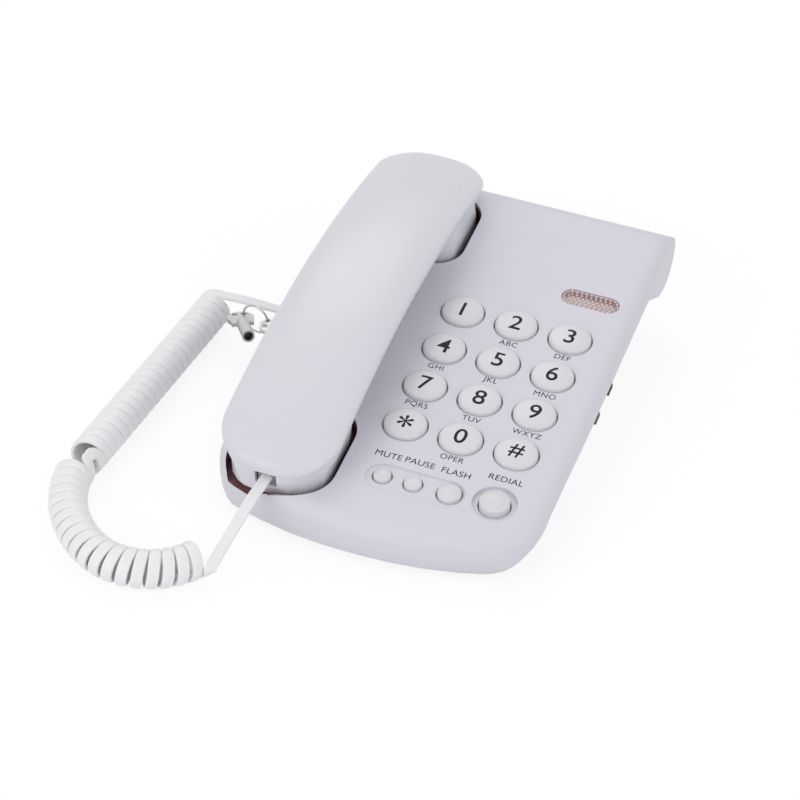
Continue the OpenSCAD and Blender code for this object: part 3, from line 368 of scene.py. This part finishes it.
def makeWellLining():
    centre = (lining["wall"] + lining["corner"], lining["front"] + lining["corner"])
    path = []
    for k in range(lining["steps"] + 1):
        a = math.radians(180 + lining["turn"] - lining["turn"] * k / lining["steps"])
        outX, outV = math.cos(a), math.sin(a)
        path.append((centre[0] + lining["corner"] * outX, centre[1] + lining["corner"] * outV, outX, outV))
    path.append((lining["wall"], lining["to"], -1.0, 0.0))
    section = ((0, lining["foot"]), (0, lining["top"]), (lining["thick"], lining["top"]),
               (lining["thick"], lining["foot"]))
    points = [onPanel(x + outX * across, v + outV * across, w)
              for x, v, outX, outV in path for across, w in section]
    band = meshPiece("mouthWellLining", points, ringFaces(len(path), len(section)), smooth=False)
    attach(band, "base")
    return band


wellLining = makeWellLining()


# trays that floor the two wells; the mouth well's is open in front, over the floor that is there. They take the
# cover's finish, so they carry the wells' painted shade
trays = {"earWellTray": {"box": (-63.66, -12.94, 150.74, 195.96), "corner": 12.46, "floor": -10.55},
         "mouthWellTray": {"box": (-62.76, -17.14, 19.0, 58.46), "corner": 15.46, "floor": -9.05, "open": 22.0}}
trayWall = {"top": -4.6, "thick": 0.6, "lip": 0.02, "steps": 10}


def trayOutline(tray, grow):
    # across, up the slope and the height of the wall at every point of the tray's edge
    x0, x1, v0, v1 = tray["box"]
    x0, x1, v0, v1, r = x0 - grow, x1 + grow, v0 - grow, v1 + grow, tray["corner"] + grow
    corners = [(x1 - r, v1 - r, 0), (x0 + r, v1 - r, 90)]
    points, top = [], trayWall["top"]
    if "open" in tray:
        low = tray["floor"]
        points = [(x0, tray["open"], top), (x0, v0, low), (x1, v0, low), (x1, tray["open"], top)]
    else:
        corners = [(x0 + r, v0 + r, 180), (x1 - r, v0 + r, 270)] + corners
    for x, v, start in corners:
        for k in range(trayWall["steps"] + 1):
            a = math.radians(start + 90 * k / trayWall["steps"])
            points.append((x + r * math.cos(a), v + r * math.sin(a), top))
    return points


def makeTray(name, tray):
    inner, outer = trayOutline(tray, 0), trayOutline(tray, trayWall["thick"])
    floor = tray["floor"]
    rings = [[(x, v, floor - trayWall["thick"]) for x, v, _ in outer], outer,
             [(x, v, max(w, floor + trayWall["lip"])) for x, v, w in inner], [(x, v, floor) for x, v, _ in inner]]
    points = [onPanel(*p) for ring in rings for p in ring]
    piece = meshPiece(name, points, ringFaces(len(rings), len(inner)), smooth=False)
    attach(piece, "base")
    return piece


wellTrays = [makeTray(name, tray) for name, tray in trays.items()]
print("wells lined")


# keys and buttons
keys = {"x": -0.9, "v": 126.6, "acrossPitch": 23.4, "upPitch": 23.2, "holeWidth": 19.0, "holeHeight": 17.8,
        "gap": 0.7, "rise": 2.4, "dome": 42.0, "flange": 1.0, "flangeTop": -2.5, "flangeDepth": 1.2,
        "stem": 6.0, "stemFoot": -6.4, "stemTip": 0.9, "tipRise": 0.2, "edge": 1.3, "buttonEdge": 0.8,
        "soft": 0.15, "around": 64, "edgeSteps": 7, "domeSteps": 8, "flatTop": 0.35, "sideways": 8,
        "names": ["key_1", "key_2", "key_3", "key_4", "key_5", "key_6", "key_7", "key_8", "key_9",
                  "key_star", "key_0", "key_hash"]}
buttons = {"mute_button": {"at": (0, 28), "across": 8.5, "rise": 1.2, "seat": 0.0},
           "pause_button": {"at": (12.8, 28), "across": 8.5, "rise": 1.2, "seat": 0.0},
           "flash_button": {"at": (28, 28), "across": 11.0, "rise": 1.5, "seat": 0.0},
           "redial_button": {"at": (46.3, 29.2), "across": 13.6, "rise": 2.6, "seat": 1.5}}


def ovalRing(width, height, w):
    straight = (width - height) / 2
    found = []
    for k in range(keys["around"]):
        a = 2 * math.pi * k / keys["around"]
        c, d = math.cos(a), math.sin(a)
        shift = math.copysign(straight, c) * min(1, abs(c) * keys["sideways"])
        found.append((shift + c * height / 2, d * height / 2, w))
    return found


def capRings(width, height, rise, dome, edge, flangeWidth, flangeHeight, flangeTop):
    # from the stem's foot up over the flange and the side to the domed top
    stem, foot, soft = keys["stem"], keys["stemFoot"], keys["soft"]
    flangeFoot = flangeTop - keys["flangeDepth"]
    rings = [ovalRing(stem * keys["stemTip"], stem * keys["stemTip"], foot),
             ovalRing(stem, stem, foot + keys["tipRise"]), ovalRing(stem, stem, flangeFoot),
             ovalRing(flangeWidth - 2 * soft, flangeHeight - 2 * soft, flangeFoot),
             ovalRing(flangeWidth, flangeHeight, flangeFoot + soft),
             ovalRing(flangeWidth, flangeHeight, flangeTop - soft),
             ovalRing(flangeWidth - 2 * soft, flangeHeight - 2 * soft, flangeTop),
             ovalRing(width, height, flangeTop)]
    half = height / 2

    def domeHeight(r):
        return rise - dome + math.sqrt(dome * dome - r * r)
    inner = half - edge
    slope = math.asin(inner / dome)                    # the dome's slope where the round edge meets it
    for k in range(keys["edgeSteps"] + 1):
        a = (math.pi / 2 - slope) * k / keys["edgeSteps"]
        inset = edge * (1 - math.cos(a))
        drop = edge * (math.sin(math.pi / 2 - slope) - math.sin(a))
        rings.append(ovalRing(width - 2 * inset, height - 2 * inset, domeHeight(inner) - drop))
    last = half - edge * (1 - math.sin(slope))
    for k in range(1, keys["domeSteps"] + 1):
        r = last * (1 - k / (keys["domeSteps"] + keys["flatTop"]))
        rings.append(ovalRing(2 * r + (width - height) * r / last, 2 * r, domeHeight(r)))
    return rings


def makeCap(name, x, v, rings):
    points = [onPanel(x + p[0], v + p[1], p[2]) for ring in rings for p in ring]
    cap = meshPiece(name.replace("_", "") + "Cap", points, ringFaces(len(rings), keys["around"]))
    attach(cap, name)
    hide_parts(name)
    return cap


def keyPlace(i):
    return keys["x"] + (i % 3) * keys["acrossPitch"], keys["v"] - (i // 3) * keys["upPitch"]


def makeKeys():
    caps = []
    wide, high = keys["holeWidth"] - 2 * keys["gap"], keys["holeHeight"] - 2 * keys["gap"]
    for i, name in enumerate(keys["names"]):
        x, v = keyPlace(i)
        caps.append(makeCap(name, x, v, capRings(
            wide, high, keys["rise"], keys["dome"], keys["edge"], keys["holeWidth"] + 2 * keys["flange"],
            keys["holeHeight"] + 2 * keys["flange"], keys["flangeTop"])))
    for name, b in buttons.items():
        d = b["across"] - 2 * keys["gap"]
        flange = b["across"] + 2 * keys["flange"]
        caps.append(makeCap(name, b["at"][0], b["at"][1], capRings(
            d, d, b["rise"], b["across"], keys["buttonEdge"], flange, flange, keys["flangeTop"] - b["seat"])))
    return caps


caps = makeKeys()
print("keys and buttons made:", len(caps))


# printing on the keys and the panel
printing = {"digits": ["1", "2", "3", "4", "5", "6", "7", "8", "9", "*", "0", "#"], "digitSize": 11.2,
            "digitScale": {"*": 1.35, "#": 0.92}, "bold": 0.009,
            "letters": {1: "ABC", 2: "DEF", 3: "GHI", 4: "JKL", 5: "MNO", 6: "PQRS", 7: "TUV", 8: "WXYZ",
                        10: "OPER"},
            "letterSize": 3.9, "letterPlace": (0.2, -10.8), "letterSpread": 1.08, "wordSize": 4.3,
            "wordSpread": 1.05, "raise": 0.035, "longest": 0.9, "cuts": 3, "curveSteps": 5,
            "words": {"MUTE": (-1.3, 39.2), "PAUSE": (11.8, 39.5), "FLASH": (26.9, 39.3), "REDIAL": (46.6, 42.6)}}


def textMesh(text, size, spread, bold):
    # flat letters centred on the origin, in mm
    data = bpy.data.curves.new("letters", "FONT")
    data.body = text
    data.size = size
    data.space_character = spread
    data.offset = size * bold
    data.resolution_u = printing["curveSteps"]
    data.fill_mode = "FRONT"
    holder = bpy.data.objects.new("letters", data)
    bpy.context.scene.collection.objects.link(holder)
    bpy.context.view_layer.update()
    mesh = bpy.data.meshes.new_from_object(holder.evaluated_get(bpy.context.evaluated_depsgraph_get()))
    bpy.data.objects.remove(holder)
    bpy.data.curves.remove(data)
    xs = [v.co.x for v in mesh.vertices]
    ys = [v.co.y for v in mesh.vertices]
    middle = Vector(((min(xs) + max(xs)) / 2, (min(ys) + max(ys)) / 2, 0))
    for vertex in mesh.vertices:
        vertex.co -= middle
    return mesh


def printText(name, text, size, place, body, heightAt, spread=1.0, bold=0.0):
    mesh = textMesh(text, size, spread, bold)
    bm = bmesh.new()
    bm.from_mesh(mesh)
    bmesh.ops.triangulate(bm, faces=bm.faces)
    for _ in range(printing["cuts"]):                   # short edges, so that the print follows the dome
        long = [e for e in bm.edges if e.calc_length() > printing["longest"]]
        if long:
            bmesh.ops.subdivide_edges(bm, edges=long, cuts=1)
            bmesh.ops.triangulate(bm, faces=bm.faces)
    x, v = place
    for vertex in bm.verts:
        px, pv = vertex.co.x, vertex.co.y
        vertex.co = onPanel(x + px, v + pv, heightAt(px, pv) + printing["raise"])
    bm.to_mesh(mesh)
    bm.free()
    mesh.name = name
    piece = bpy.data.objects.new(name, mesh)
    bpy.context.scene.collection.objects.link(piece)
    for face in mesh.polygons:
        face.use_smooth = True
    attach(piece, body)
    return piece


def domeTop(x, v):
    return keys["rise"] - keys["dome"] + math.sqrt(keys["dome"] ** 2 - x * x - v * v)


def flatTop(x, v):
    return 0.0


prints = []
for i, digit in enumerate(printing["digits"]):
    key, size = keys["names"][i], printing["digitSize"] * printing["digitScale"].get(digit, 1)
    prints.append(printText(key.replace("_", "") + "Print", digit, size, keyPlace(i), key, domeTop,
                            bold=printing["bold"]))
for i, text in printing["letters"].items():
    x, v = keyPlace(i)
    place = x + printing["letterPlace"][0], v + printing["letterPlace"][1]
    prints.append(printText("letters" + text, text, printing["letterSize"], place, "base", flatTop,
                            printing["letterSpread"]))
for text, place in printing["words"].items():
    prints.append(printText("word" + text, text, printing["wordSize"], place, "base", flatTop,
                            printing["wordSpread"]))
print("print placed:", len(prints))


# shared effects
def newGroup(name, inputs, outputs):
    group = bpy.data.node_groups.new(name, "ShaderNodeTree")
    for label, kind, value in inputs:
        socket = group.interface.new_socket(label, in_out="INPUT", socket_type=kind)
        if value is not None:
            socket.default_value = value
    for label, kind in outputs:
        group.interface.new_socket(label, in_out="OUTPUT", socket_type=kind)
    return group, group.nodes.new("NodeGroupInput"), group.nodes.new("NodeGroupOutput")


def addNode(tree, kind, **settings):
    node = tree.nodes.new(kind)
    for label, value in settings.items():
        if hasattr(node, label):
            setattr(node, label, value)
        else:
            node.inputs[label.replace("_", " ")].default_value = value
    return node


def noiseAt(tree, vector, scale, detail, rough):
    noise = addNode(tree, "ShaderNodeTexNoise", Scale=scale, Detail=detail, Roughness=rough)
    tree.links.new(vector, noise.inputs["Vector"])
    return noise.outputs["Fac"]


def mathNode(tree, operation, a, b=None):
    node = tree.nodes.new("ShaderNodeMath")
    node.operation = operation
    for socket, value in zip(node.inputs, (a, b)):
        if value is None:
            continue
        if isinstance(value, (int, float)):
            socket.default_value = value
        else:
            tree.links.new(value, socket)
    return node.outputs[0]


def ramp(tree, value, low, high, toLow=0.0, toHigh=1.0):
    node = addNode(tree, "ShaderNodeMapRange", interpolation_type="SMOOTHSTEP")
    node.inputs["From Min"].default_value, node.inputs["From Max"].default_value = low, high
    node.inputs["To Min"].default_value, node.inputs["To Max"].default_value = toLow, toHigh
    tree.links.new(value, node.inputs["Value"])
    return node.outputs[0]


def mixColours(tree, mask, a, b):
    node = tree.nodes.new("ShaderNodeMix")
    node.data_type = "RGBA"
    picked = [s for s in node.inputs if s.type == "RGBA"]
    for socket, value in zip(picked, (a, b)):
        if isinstance(value, tuple):
            socket.default_value = value + (1,)
        else:
            tree.links.new(value, socket)
    if isinstance(mask, (int, float)):
        node.inputs[0].default_value = mask
    else:
        tree.links.new(mask, node.inputs[0])
    return [s for s in node.outputs if s.type == "RGBA"][0]


grainLook = {"grain": 1500.0, "mottle": 28.0, "fineDetail": 3.0, "fineRough": 0.55, "slowDetail": 2.0,
             "slowRough": 0.5}
wearLook = {"scale": 60.0, "detail": 5.0, "rough": 0.62, "patches": (0.52, 0.72)}


def mouldedGrain():
    # the fine even grain of a moulded shell, and the slow mottle of its surface
    group, start, end = newGroup("mouldedGrain",
                                 [("Vector", "NodeSocketVector", None),
                                  ("Grain", "NodeSocketFloat", grainLook["grain"]),
                                  ("Mottle", "NodeSocketFloat", grainLook["mottle"])],
                                 [("Height", "NodeSocketFloat"), ("Tone", "NodeSocketFloat")])
    fine = addNode(group, "ShaderNodeTexNoise", Detail=grainLook["fineDetail"], Roughness=grainLook["fineRough"])
    slow = addNode(group, "ShaderNodeTexNoise", Detail=grainLook["slowDetail"], Roughness=grainLook["slowRough"])
    group.links.new(start.outputs["Vector"], fine.inputs["Vector"])
    group.links.new(start.outputs["Grain"], fine.inputs["Scale"])
    group.links.new(start.outputs["Vector"], slow.inputs["Vector"])
    group.links.new(start.outputs["Mottle"], slow.inputs["Scale"])
    group.links.new(fine.outputs["Fac"], end.inputs["Height"])
    group.links.new(slow.outputs["Fac"], end.inputs["Tone"])
    return group


def handledWear():
    # faint rubbed patches and dust where hands and cloths pass
    group, start, end = newGroup("handledWear",
                                 [("Vector", "NodeSocketVector", None),
                                  ("Scale", "NodeSocketFloat", wearLook["scale"])],
                                 [("Mask", "NodeSocketFloat")])
    patch = addNode(group, "ShaderNodeTexNoise", Detail=wearLook["detail"], Roughness=wearLook["rough"])
    group.links.new(start.outputs["Vector"], patch.inputs["Vector"])
    group.links.new(start.outputs["Scale"], patch.inputs["Scale"])
    group.links.new(ramp(group, patch.outputs["Fac"], *wearLook["patches"]), end.inputs["Mask"])
    return group


grainGroup, wearGroup = mouldedGrain(), handledWear()
print("shared effects made")


# finishes
def newFinish(name):
    material = bpy.data.materials.new(name)
    material.use_nodes = True
    tree = material.node_tree
    tree.nodes.clear()
    shader = tree.nodes.new("ShaderNodeBsdfPrincipled")
    out = tree.nodes.new("ShaderNodeOutputMaterial")
    tree.links.new(shader.outputs[0], out.inputs[0])
    place = tree.nodes.new("ShaderNodeTexCoord").outputs["Object"]
    return material, tree, shader, place


def setShader(shader, **values):
    for label, value in values.items():
        shader.inputs[label.replace("_", " ")].default_value = value


def useBump(tree, shader, height, distance):
    bump = addNode(tree, "ShaderNodeBump", Strength=1.0, Distance=distance)
    tree.links.new(height, bump.inputs["Height"])
    tree.links.new(bump.outputs[0], shader.inputs["Normal"])


plastics = {"cover": {"base": (0.725, 0.715, 0.785), "second": (0.745, 0.735, 0.80),
                      "worn": (0.70, 0.69, 0.75), "rough": (0.46, 0.56), "grain": 1500.0, "depth": 0.00005},
            "shell": {"base": (0.74, 0.73, 0.795), "second": (0.76, 0.75, 0.81), "worn": (0.71, 0.70, 0.76),
                      "rough": (0.26, 0.33), "grain": 1500.0, "depth": 0.00002},
            "keyCap": {"base": (0.755, 0.74, 0.775), "second": (0.77, 0.757, 0.79), "worn": (0.72, 0.71, 0.745),
                       "rough": (0.3, 0.38), "grain": 900.0, "depth": 0.00002},
            "cordSleeve": {"base": (0.92, 0.915, 0.94), "second": (0.94, 0.935, 0.955),
                           "worn": (0.82, 0.81, 0.84), "rough": (0.34, 0.42), "grain": 900.0, "depth": 0.00002},
            "blackPlastic": {"base": (0.018, 0.018, 0.021), "second": (0.024, 0.024, 0.027),
                             "worn": (0.04, 0.04, 0.042), "rough": (0.35, 0.5), "grain": 1600.0,
                             "depth": 0.00004},
            "footRubber": {"base": (0.05, 0.05, 0.053), "second": (0.062, 0.062, 0.064),
                           "worn": (0.09, 0.09, 0.09), "rough": (0.75, 0.85), "grain": 1200.0, "depth": 0.00006},
            "matRubber": {"base": (0.4, 0.4, 0.42), "second": (0.43, 0.43, 0.45), "worn": (0.46, 0.46, 0.48),
                          "rough": (0.6, 0.7), "grain": 1200.0, "depth": 0.00003},
            "boardLacquer": {"base": (0.02, 0.11, 0.045), "second": (0.03, 0.14, 0.06),
                             "worn": (0.06, 0.16, 0.08), "rough": (0.25, 0.35), "grain": 500.0,
                             "depth": 0.00003, "coat": 0.4},
            "lampLens": {"base": (0.42, 0.03, 0.025), "second": (0.5, 0.05, 0.04), "worn": (0.4, 0.08, 0.07),
                         "rough": (0.08, 0.14), "grain": 500.0, "depth": 0.00001, "coat": 0.5},
            "printInk": {"base": (0.008, 0.011, 0.022), "second": (0.012, 0.015, 0.027),
                         "worn": (0.02, 0.025, 0.035), "rough": (0.3, 0.42), "grain": 2500.0, "depth": 0.00001,
                         "specular": 0.12}}
wornShare, toneRange, coatRough = 0.12, (0.3, 0.7), 0.08


def plasticFinish(name, extra=None):
    p = plastics[name]
    material, tree, shader, place = newFinish(name)
    grain = addNode(tree, "ShaderNodeGroup", node_tree=grainGroup)
    grain.inputs["Grain"].default_value = p["grain"]
    wear = addNode(tree, "ShaderNodeGroup", node_tree=wearGroup)
    tree.links.new(place, grain.inputs["Vector"])
    tree.links.new(place, wear.inputs["Vector"])
    tone = mixColours(tree, grain.outputs["Tone"], p["base"], p["second"])
    colour = mixColours(tree, mathNode(tree, "MULTIPLY", wear.outputs["Mask"], wornShare), tone, p["worn"])
    if extra:
        colour = extra(tree, place, colour)
    tree.links.new(colour, shader.inputs["Base Color"])
    tree.links.new(ramp(tree, grain.outputs["Tone"], *toneRange, *p["rough"]), shader.inputs["Roughness"])
    setShader(shader, Coat_Weight=p.get("coat", 0.0), Coat_Roughness=coatRough,
              Specular_IOR_Level=p.get("specular", 0.5))
    useBump(tree, shader, grain.outputs["Height"], p["depth"])
    return material


# the two wells in the cover: middle across and up the slope, half sizes and corner, in mm, and their painted
# shade
wells = {"ear": (-38.3, 173.35, 25.3, 22.55, 12.4), "mouth": (-39.95, 32.1, 22.75, 26.3, 15.4),
         "edge": (0.1, 0.5), "deep": (-3.0, -0.35), "lowest": -12.0, "cornerX": -40.0, "cornerV": 30.0,
         "outward": -0.5, "shade": (0.17, 0.07, 0.08)}


def outsideBy(tree, x, v, well):
    # distance outside a round-cornered rectangle, in metres
    middleX, middleV, halfX, halfV, corner = (value / 1000 for value in well)
    squares = []
    for value, middle, half in ((x, middleX, halfX), (v, middleV, halfV)):
        away = mathNode(tree, "ABSOLUTE", mathNode(tree, "SUBTRACT", value, middle))
        past = mathNode(tree, "MAXIMUM", mathNode(tree, "SUBTRACT", away, half - corner), 0.0)
        squares.append(mathNode(tree, "MULTIPLY", past, past))
    length = mathNode(tree, "SQRT", mathNode(tree, "ADD", squares[0], squares[1]))
    return mathNode(tree, "SUBTRACT", length, corner)


def leansOut(tree, x, v):
    # 1 where the shell's outside leans in under the mouth well's outer corner, which stays pale, free of the
    # painted shade
    facing = tree.nodes.new("ShaderNodeSeparateXYZ")
    tree.links.new(tree.nodes.new("ShaderNodeNewGeometry").outputs["True Normal"], facing.inputs[0])
    leftward = mathNode(tree, "ADD", facing.outputs[0], facing.outputs[1])
    inCorner = mathNode(tree, "MULTIPLY", mathNode(tree, "LESS_THAN", v, wells["cornerV"] / 1000),
                        mathNode(tree, "LESS_THAN", x, wells["cornerX"] / 1000))
    return mathNode(tree, "MULTIPLY", mathNode(tree, "LESS_THAN", leftward, wells["outward"]), inCorner)


def wellShade(tree, place, colour):
    # painted shade: inside the wells the colour turns to a dark warm maroon, from just below the panel to full at
    # 3 mm down, in place of the shade deep in them
    turned = addNode(tree, "ShaderNodeMapping", vector_type="TEXTURE")
    turned.inputs["Location"].default_value = (0, panel["front"] / 1000, panel["height"] / 1000)
    turned.inputs["Rotation"].default_value = (math.radians(panel["slope"]), 0, 0)
    tree.links.new(place, turned.inputs["Vector"])
    parts = tree.nodes.new("ShaderNodeSeparateXYZ")
    tree.links.new(turned.outputs[0], parts.inputs[0])
    x, v, w = parts.outputs
    nearest = mathNode(tree, "MINIMUM", outsideBy(tree, x, v, wells["ear"]),
                       outsideBy(tree, x, v, wells["mouth"]))
    inside = ramp(tree, nearest, *(value / 1000 for value in wells["edge"]), 1, 0)
    deep = ramp(tree, w, *(value / 1000 for value in wells["deep"]), 1, 0)
    above = mathNode(tree, "GREATER_THAN", w, wells["lowest"] / 1000)
    inside = mathNode(tree, "MULTIPLY", inside, mathNode(tree, "SUBTRACT", above, leansOut(tree, x, v)))
    shaded = mathNode(tree, "MULTIPLY", mathNode(tree, "MAXIMUM", inside, 0.0), deep)
    return mixColours(tree, shaded, colour, wells["shade"])


steel = {"base": (0.56, 0.555, 0.55), "dull": (0.42, 0.41, 0.40), "rough": (0.28, 0.46),
         "brush": (900.0, 120.0, 900.0), "brushDetail": 4.0, "brushRough": 0.6, "wear": 180.0, "depth": 0.00003}


def steelFinish(name):
    material, tree, shader, place = newFinish(name)
    stretched = addNode(tree, "ShaderNodeMapping")
    stretched.inputs["Scale"].default_value = steel["brush"]
    tree.links.new(place, stretched.inputs["Vector"])
    brushed = noiseAt(tree, stretched.outputs[0], 1.0, steel["brushDetail"], steel["brushRough"])
    wear = addNode(tree, "ShaderNodeGroup", node_tree=wearGroup)
    wear.inputs["Scale"].default_value = steel["wear"]
    tree.links.new(place, wear.inputs["Vector"])
    colour = mixColours(tree, wear.outputs["Mask"], steel["base"], steel["dull"])
    tree.links.new(colour, shader.inputs["Base Color"])
    tree.links.new(ramp(tree, brushed, *toneRange, *steel["rough"]), shader.inputs["Roughness"])
    setShader(shader, Metallic=1.0)
    useBump(tree, shader, brushed, steel["depth"])
    return material


lens = {"rib": (0.34, 0.21, 0.21), "face": (0.80, 0.66, 0.68), "pitch": 1150.0, "angle": 35, "rough": 0.16,
        "crossing": (0.05, 0.6), "mottle": 0.2, "coat": 0.6, "coatRough": 0.05, "depth": 0.00025}


def lensFinish(name):
    # smoked lens with a fine crossed pattern moulded in its face
    material, tree, shader, place = newFinish(name)
    lines = []
    for turn in (lens["angle"], -lens["angle"]):
        turned = addNode(tree, "ShaderNodeMapping")
        turned.inputs["Rotation"].default_value = (0, 0, math.radians(turn))
        tree.links.new(place, turned.inputs["Vector"])
        wave = addNode(tree, "ShaderNodeTexWave", wave_type="BANDS", bands_direction="X",
                       Scale=lens["pitch"] / 6.283)
        tree.links.new(turned.outputs[0], wave.inputs["Vector"])
        lines.append(wave.outputs["Fac"])
    crossed = mathNode(tree, "MULTIPLY", lines[0], lines[1])
    grain = addNode(tree, "ShaderNodeGroup", node_tree=grainGroup)
    tree.links.new(place, grain.inputs["Vector"])
    colour = mixColours(tree, ramp(tree, crossed, *lens["crossing"]), lens["rib"], lens["face"])
    mottle = mathNode(tree, "MULTIPLY", grain.outputs["Tone"], lens["mottle"])
    tree.links.new(mixColours(tree, mottle, colour, lens["face"]), shader.inputs["Base Color"])
    setShader(shader, Roughness=lens["rough"], Coat_Weight=lens["coat"], Coat_Roughness=lens["coatRough"])
    useBump(tree, shader, crossed, lens["depth"])
    return material


clearPlug = {"base": (0.82, 0.82, 0.85), "second": (0.9, 0.9, 0.92), "rough": (0.1, 0.18), "clear": 0.75,
             "ior": 1.49, "depth": 0.00001}


def plugFinish(name):
    # clear plug, a little milky inside
    material, tree, shader, place = newFinish(name)
    grain = addNode(tree, "ShaderNodeGroup", node_tree=grainGroup)
    tree.links.new(place, grain.inputs["Vector"])
    tree.links.new(mixColours(tree, grain.outputs["Tone"], clearPlug["base"], clearPlug["second"]),
                   shader.inputs["Base Color"])
    tree.links.new(ramp(tree, grain.outputs["Tone"], *toneRange, *clearPlug["rough"]),
                   shader.inputs["Roughness"])
    setShader(shader, Transmission_Weight=clearPlug["clear"], IOR=clearPlug["ior"])
    useBump(tree, shader, grain.outputs["Height"], clearPlug["depth"])
    return material


# the first finish is the cover's, with the painted shade of its wells
finishes = {"coverWithPaintedShade": plasticFinish("cover", wellShade), "brightSteel": steelFinish("brightSteel"),
            "smokedLens": lensFinish("smokedLens"), "clearPlug": plugFinish("clearPlug")}
finishes.update({name: plasticFinish(name) for name in plastics})

slotFinish = {"housing": "shell", "keys": "keyCap", "window": "smokedLens", "lamp": "lampLens",
              "board": "boardLacquer", "mat": "matRubber", "feet": "footRubber",
              "black_plastic": "blackPlastic", "bright_steel": "brightSteel", "clear_plastic": "clearPlug",
              "cord_sleeve": "cordSleeve"}


def paint(piece, finish):
    if piece.data.materials:
        for k in range(len(piece.data.materials)):
            piece.data.materials[k] = finishes[finish]
    else:
        piece.data.materials.append(finishes[finish])


for part in frame["record"]["subparts"]:
    paint(frame["nodes"][part["node"]], slotFinish[part["material_slot"]])
# the top cover carries the painted well shade
paint(frame["nodes"]["top_cover"], "coverWithPaintedShade")
paint(frame["nodes"]["lower_case"], "cover")
for piece in (curlyCord, handsetCord):
    paint(piece, "cordSleeve")
paint(handsetShell, "shell")
for piece in caps:
    paint(piece, "keyCap")
for piece in prints:
    paint(piece, "printInk")
# the lining and the trays carry the painted well shade too
for piece in [wellLining] + wellTrays:
    paint(piece, "coverWithPaintedShade")
print("finishes painted:", len(finishes))


# soft edges on the parts that show as they are: width in mm, least angle and steps
roundEdges = {"top_cover": (0.35, 32, 3), "lower_case": (0.3, 32, 2), "handset_bottom": (0.5, 32, 3),
              "ringer_window": (0.25, 32, 2), "rubber_feet": (0.5, 40, 2), "base_plug": (0.3, 40, 2),
              "handset_plug": (0.3, 40, 2), "lock_key": (0.2, 40, 2), "spare_key": (0.2, 40, 2),
              "lock_barrel": (0.2, 40, 2), "lock_core": (0.15, 40, 2), "ringer_slider": (0.3, 40, 2),
              "tone_slider": (0.3, 40, 2), "line_jack": (0.2, 40, 2), "cord_jack": (0.2, 40, 2),
              "hook_plunger": (0.4, 40, 2)}
for node, (width, angle, segments) in roundEdges.items():
    softEdges(frame["nodes"][node], width, angle, segments)
print("edges rounded:", len(roundEdges))


# floor, light and surroundings
studio = {"floor": (0.9, 0.9, 0.9), "floorHalf": 3, "floorDrop": 0.0002, "floorGlow": 0.8, "glowLevel": 1.06,
          "world": 0.61, "seenWhite": (1, 1, 1, 1),
          "lamps": [{"name": "keyLamp", "toward": (-0.30, 0.56, 0.78), "distance": 1.3, "size": 0.6,
                     "power": 2.1},
                    {"name": "fillLamp", "toward": (0.75, -0.35, 0.55), "distance": 1.4, "size": 1.2,
                     "power": 3.0},
                    {"name": "frontLamp", "toward": (-0.45, -0.75, 0.45), "distance": 1.5, "size": 1.2,
                     "power": 5.0}]}


def seenRays(tree):
    # 1 where the camera sees it, straight or in a shine or through a clear piece
    rays = tree.nodes.new("ShaderNodeLightPath")
    both = mathNode(tree, "ADD", rays.outputs["Is Camera Ray"], rays.outputs["Is Glossy Ray"])
    return mathNode(tree, "MINIMUM", mathNode(tree, "ADD", both, rays.outputs["Is Transmission Ray"]), 1.0)


def makeStudio():
    half = studio["floorHalf"]
    points = [(-half, -half, 0), (half, -half, 0), (half, half, 0), (-half, half, 0)]
    floor = meshPiece("floor", points, [(0, 1, 2, 3)], smooth=False)
    floor.location.z = -studio["floorDrop"]
    material = bpy.data.materials.new("paleFloor")
    material.use_nodes = True
    tree = material.node_tree
    tree.nodes.clear()
    diffuse = tree.nodes.new("ShaderNodeBsdfDiffuse")
    diffuse.inputs["Color"].default_value = studio["floor"] + (1,)
    glow = tree.nodes.new("ShaderNodeEmission")
    glow.inputs["Strength"].default_value = studio["glowLevel"]
    mixed = tree.nodes.new("ShaderNodeMixShader")
    out = tree.nodes.new("ShaderNodeOutputMaterial")
    tree.links.new(mathNode(tree, "MULTIPLY", seenRays(tree), studio["floorGlow"]), mixed.inputs[0])
    tree.links.new(diffuse.outputs[0], mixed.inputs[1])
    tree.links.new(glow.outputs[0], mixed.inputs[2])
    tree.links.new(mixed.outputs[0], out.inputs[0])
    floor.data.materials.append(material)

    world = bpy.data.worlds.new("studioWorld")
    bpy.context.scene.world = world
    world.use_nodes = True
    tree = world.node_tree
    tree.nodes.clear()
    light = tree.nodes.new("ShaderNodeBackground")
    light.inputs["Strength"].default_value = studio["world"]
    light.inputs["Color"].default_value = studio["seenWhite"]
    seen = tree.nodes.new("ShaderNodeBackground")
    seen.inputs["Color"].default_value = studio["seenWhite"]
    mixed = tree.nodes.new("ShaderNodeMixShader")
    out = tree.nodes.new("ShaderNodeOutputWorld")
    tree.links.new(seenRays(tree), mixed.inputs[0])
    tree.links.new(light.outputs[0], mixed.inputs[1])
    tree.links.new(seen.outputs[0], mixed.inputs[2])
    tree.links.new(mixed.outputs[0], out.inputs[0])

    for lamp in studio["lamps"]:
        data = bpy.data.lights.new(lamp["name"], "AREA")
        data.shape = "SQUARE"
        data.size = lamp["size"]
        data.energy = lamp["power"]
        holder = bpy.data.objects.new(lamp["name"], data)
        toward = Vector(lamp["toward"]).normalized()
        holder.matrix_world = Matrix.Translation(toward * lamp["distance"]) @ \
            toward.to_track_quat("Z", "Y").to_matrix().to_4x4()
        bpy.context.scene.collection.objects.link(holder)
    bpy.context.scene.view_settings.view_transform = "Standard"


makeStudio()
print("studio lit")
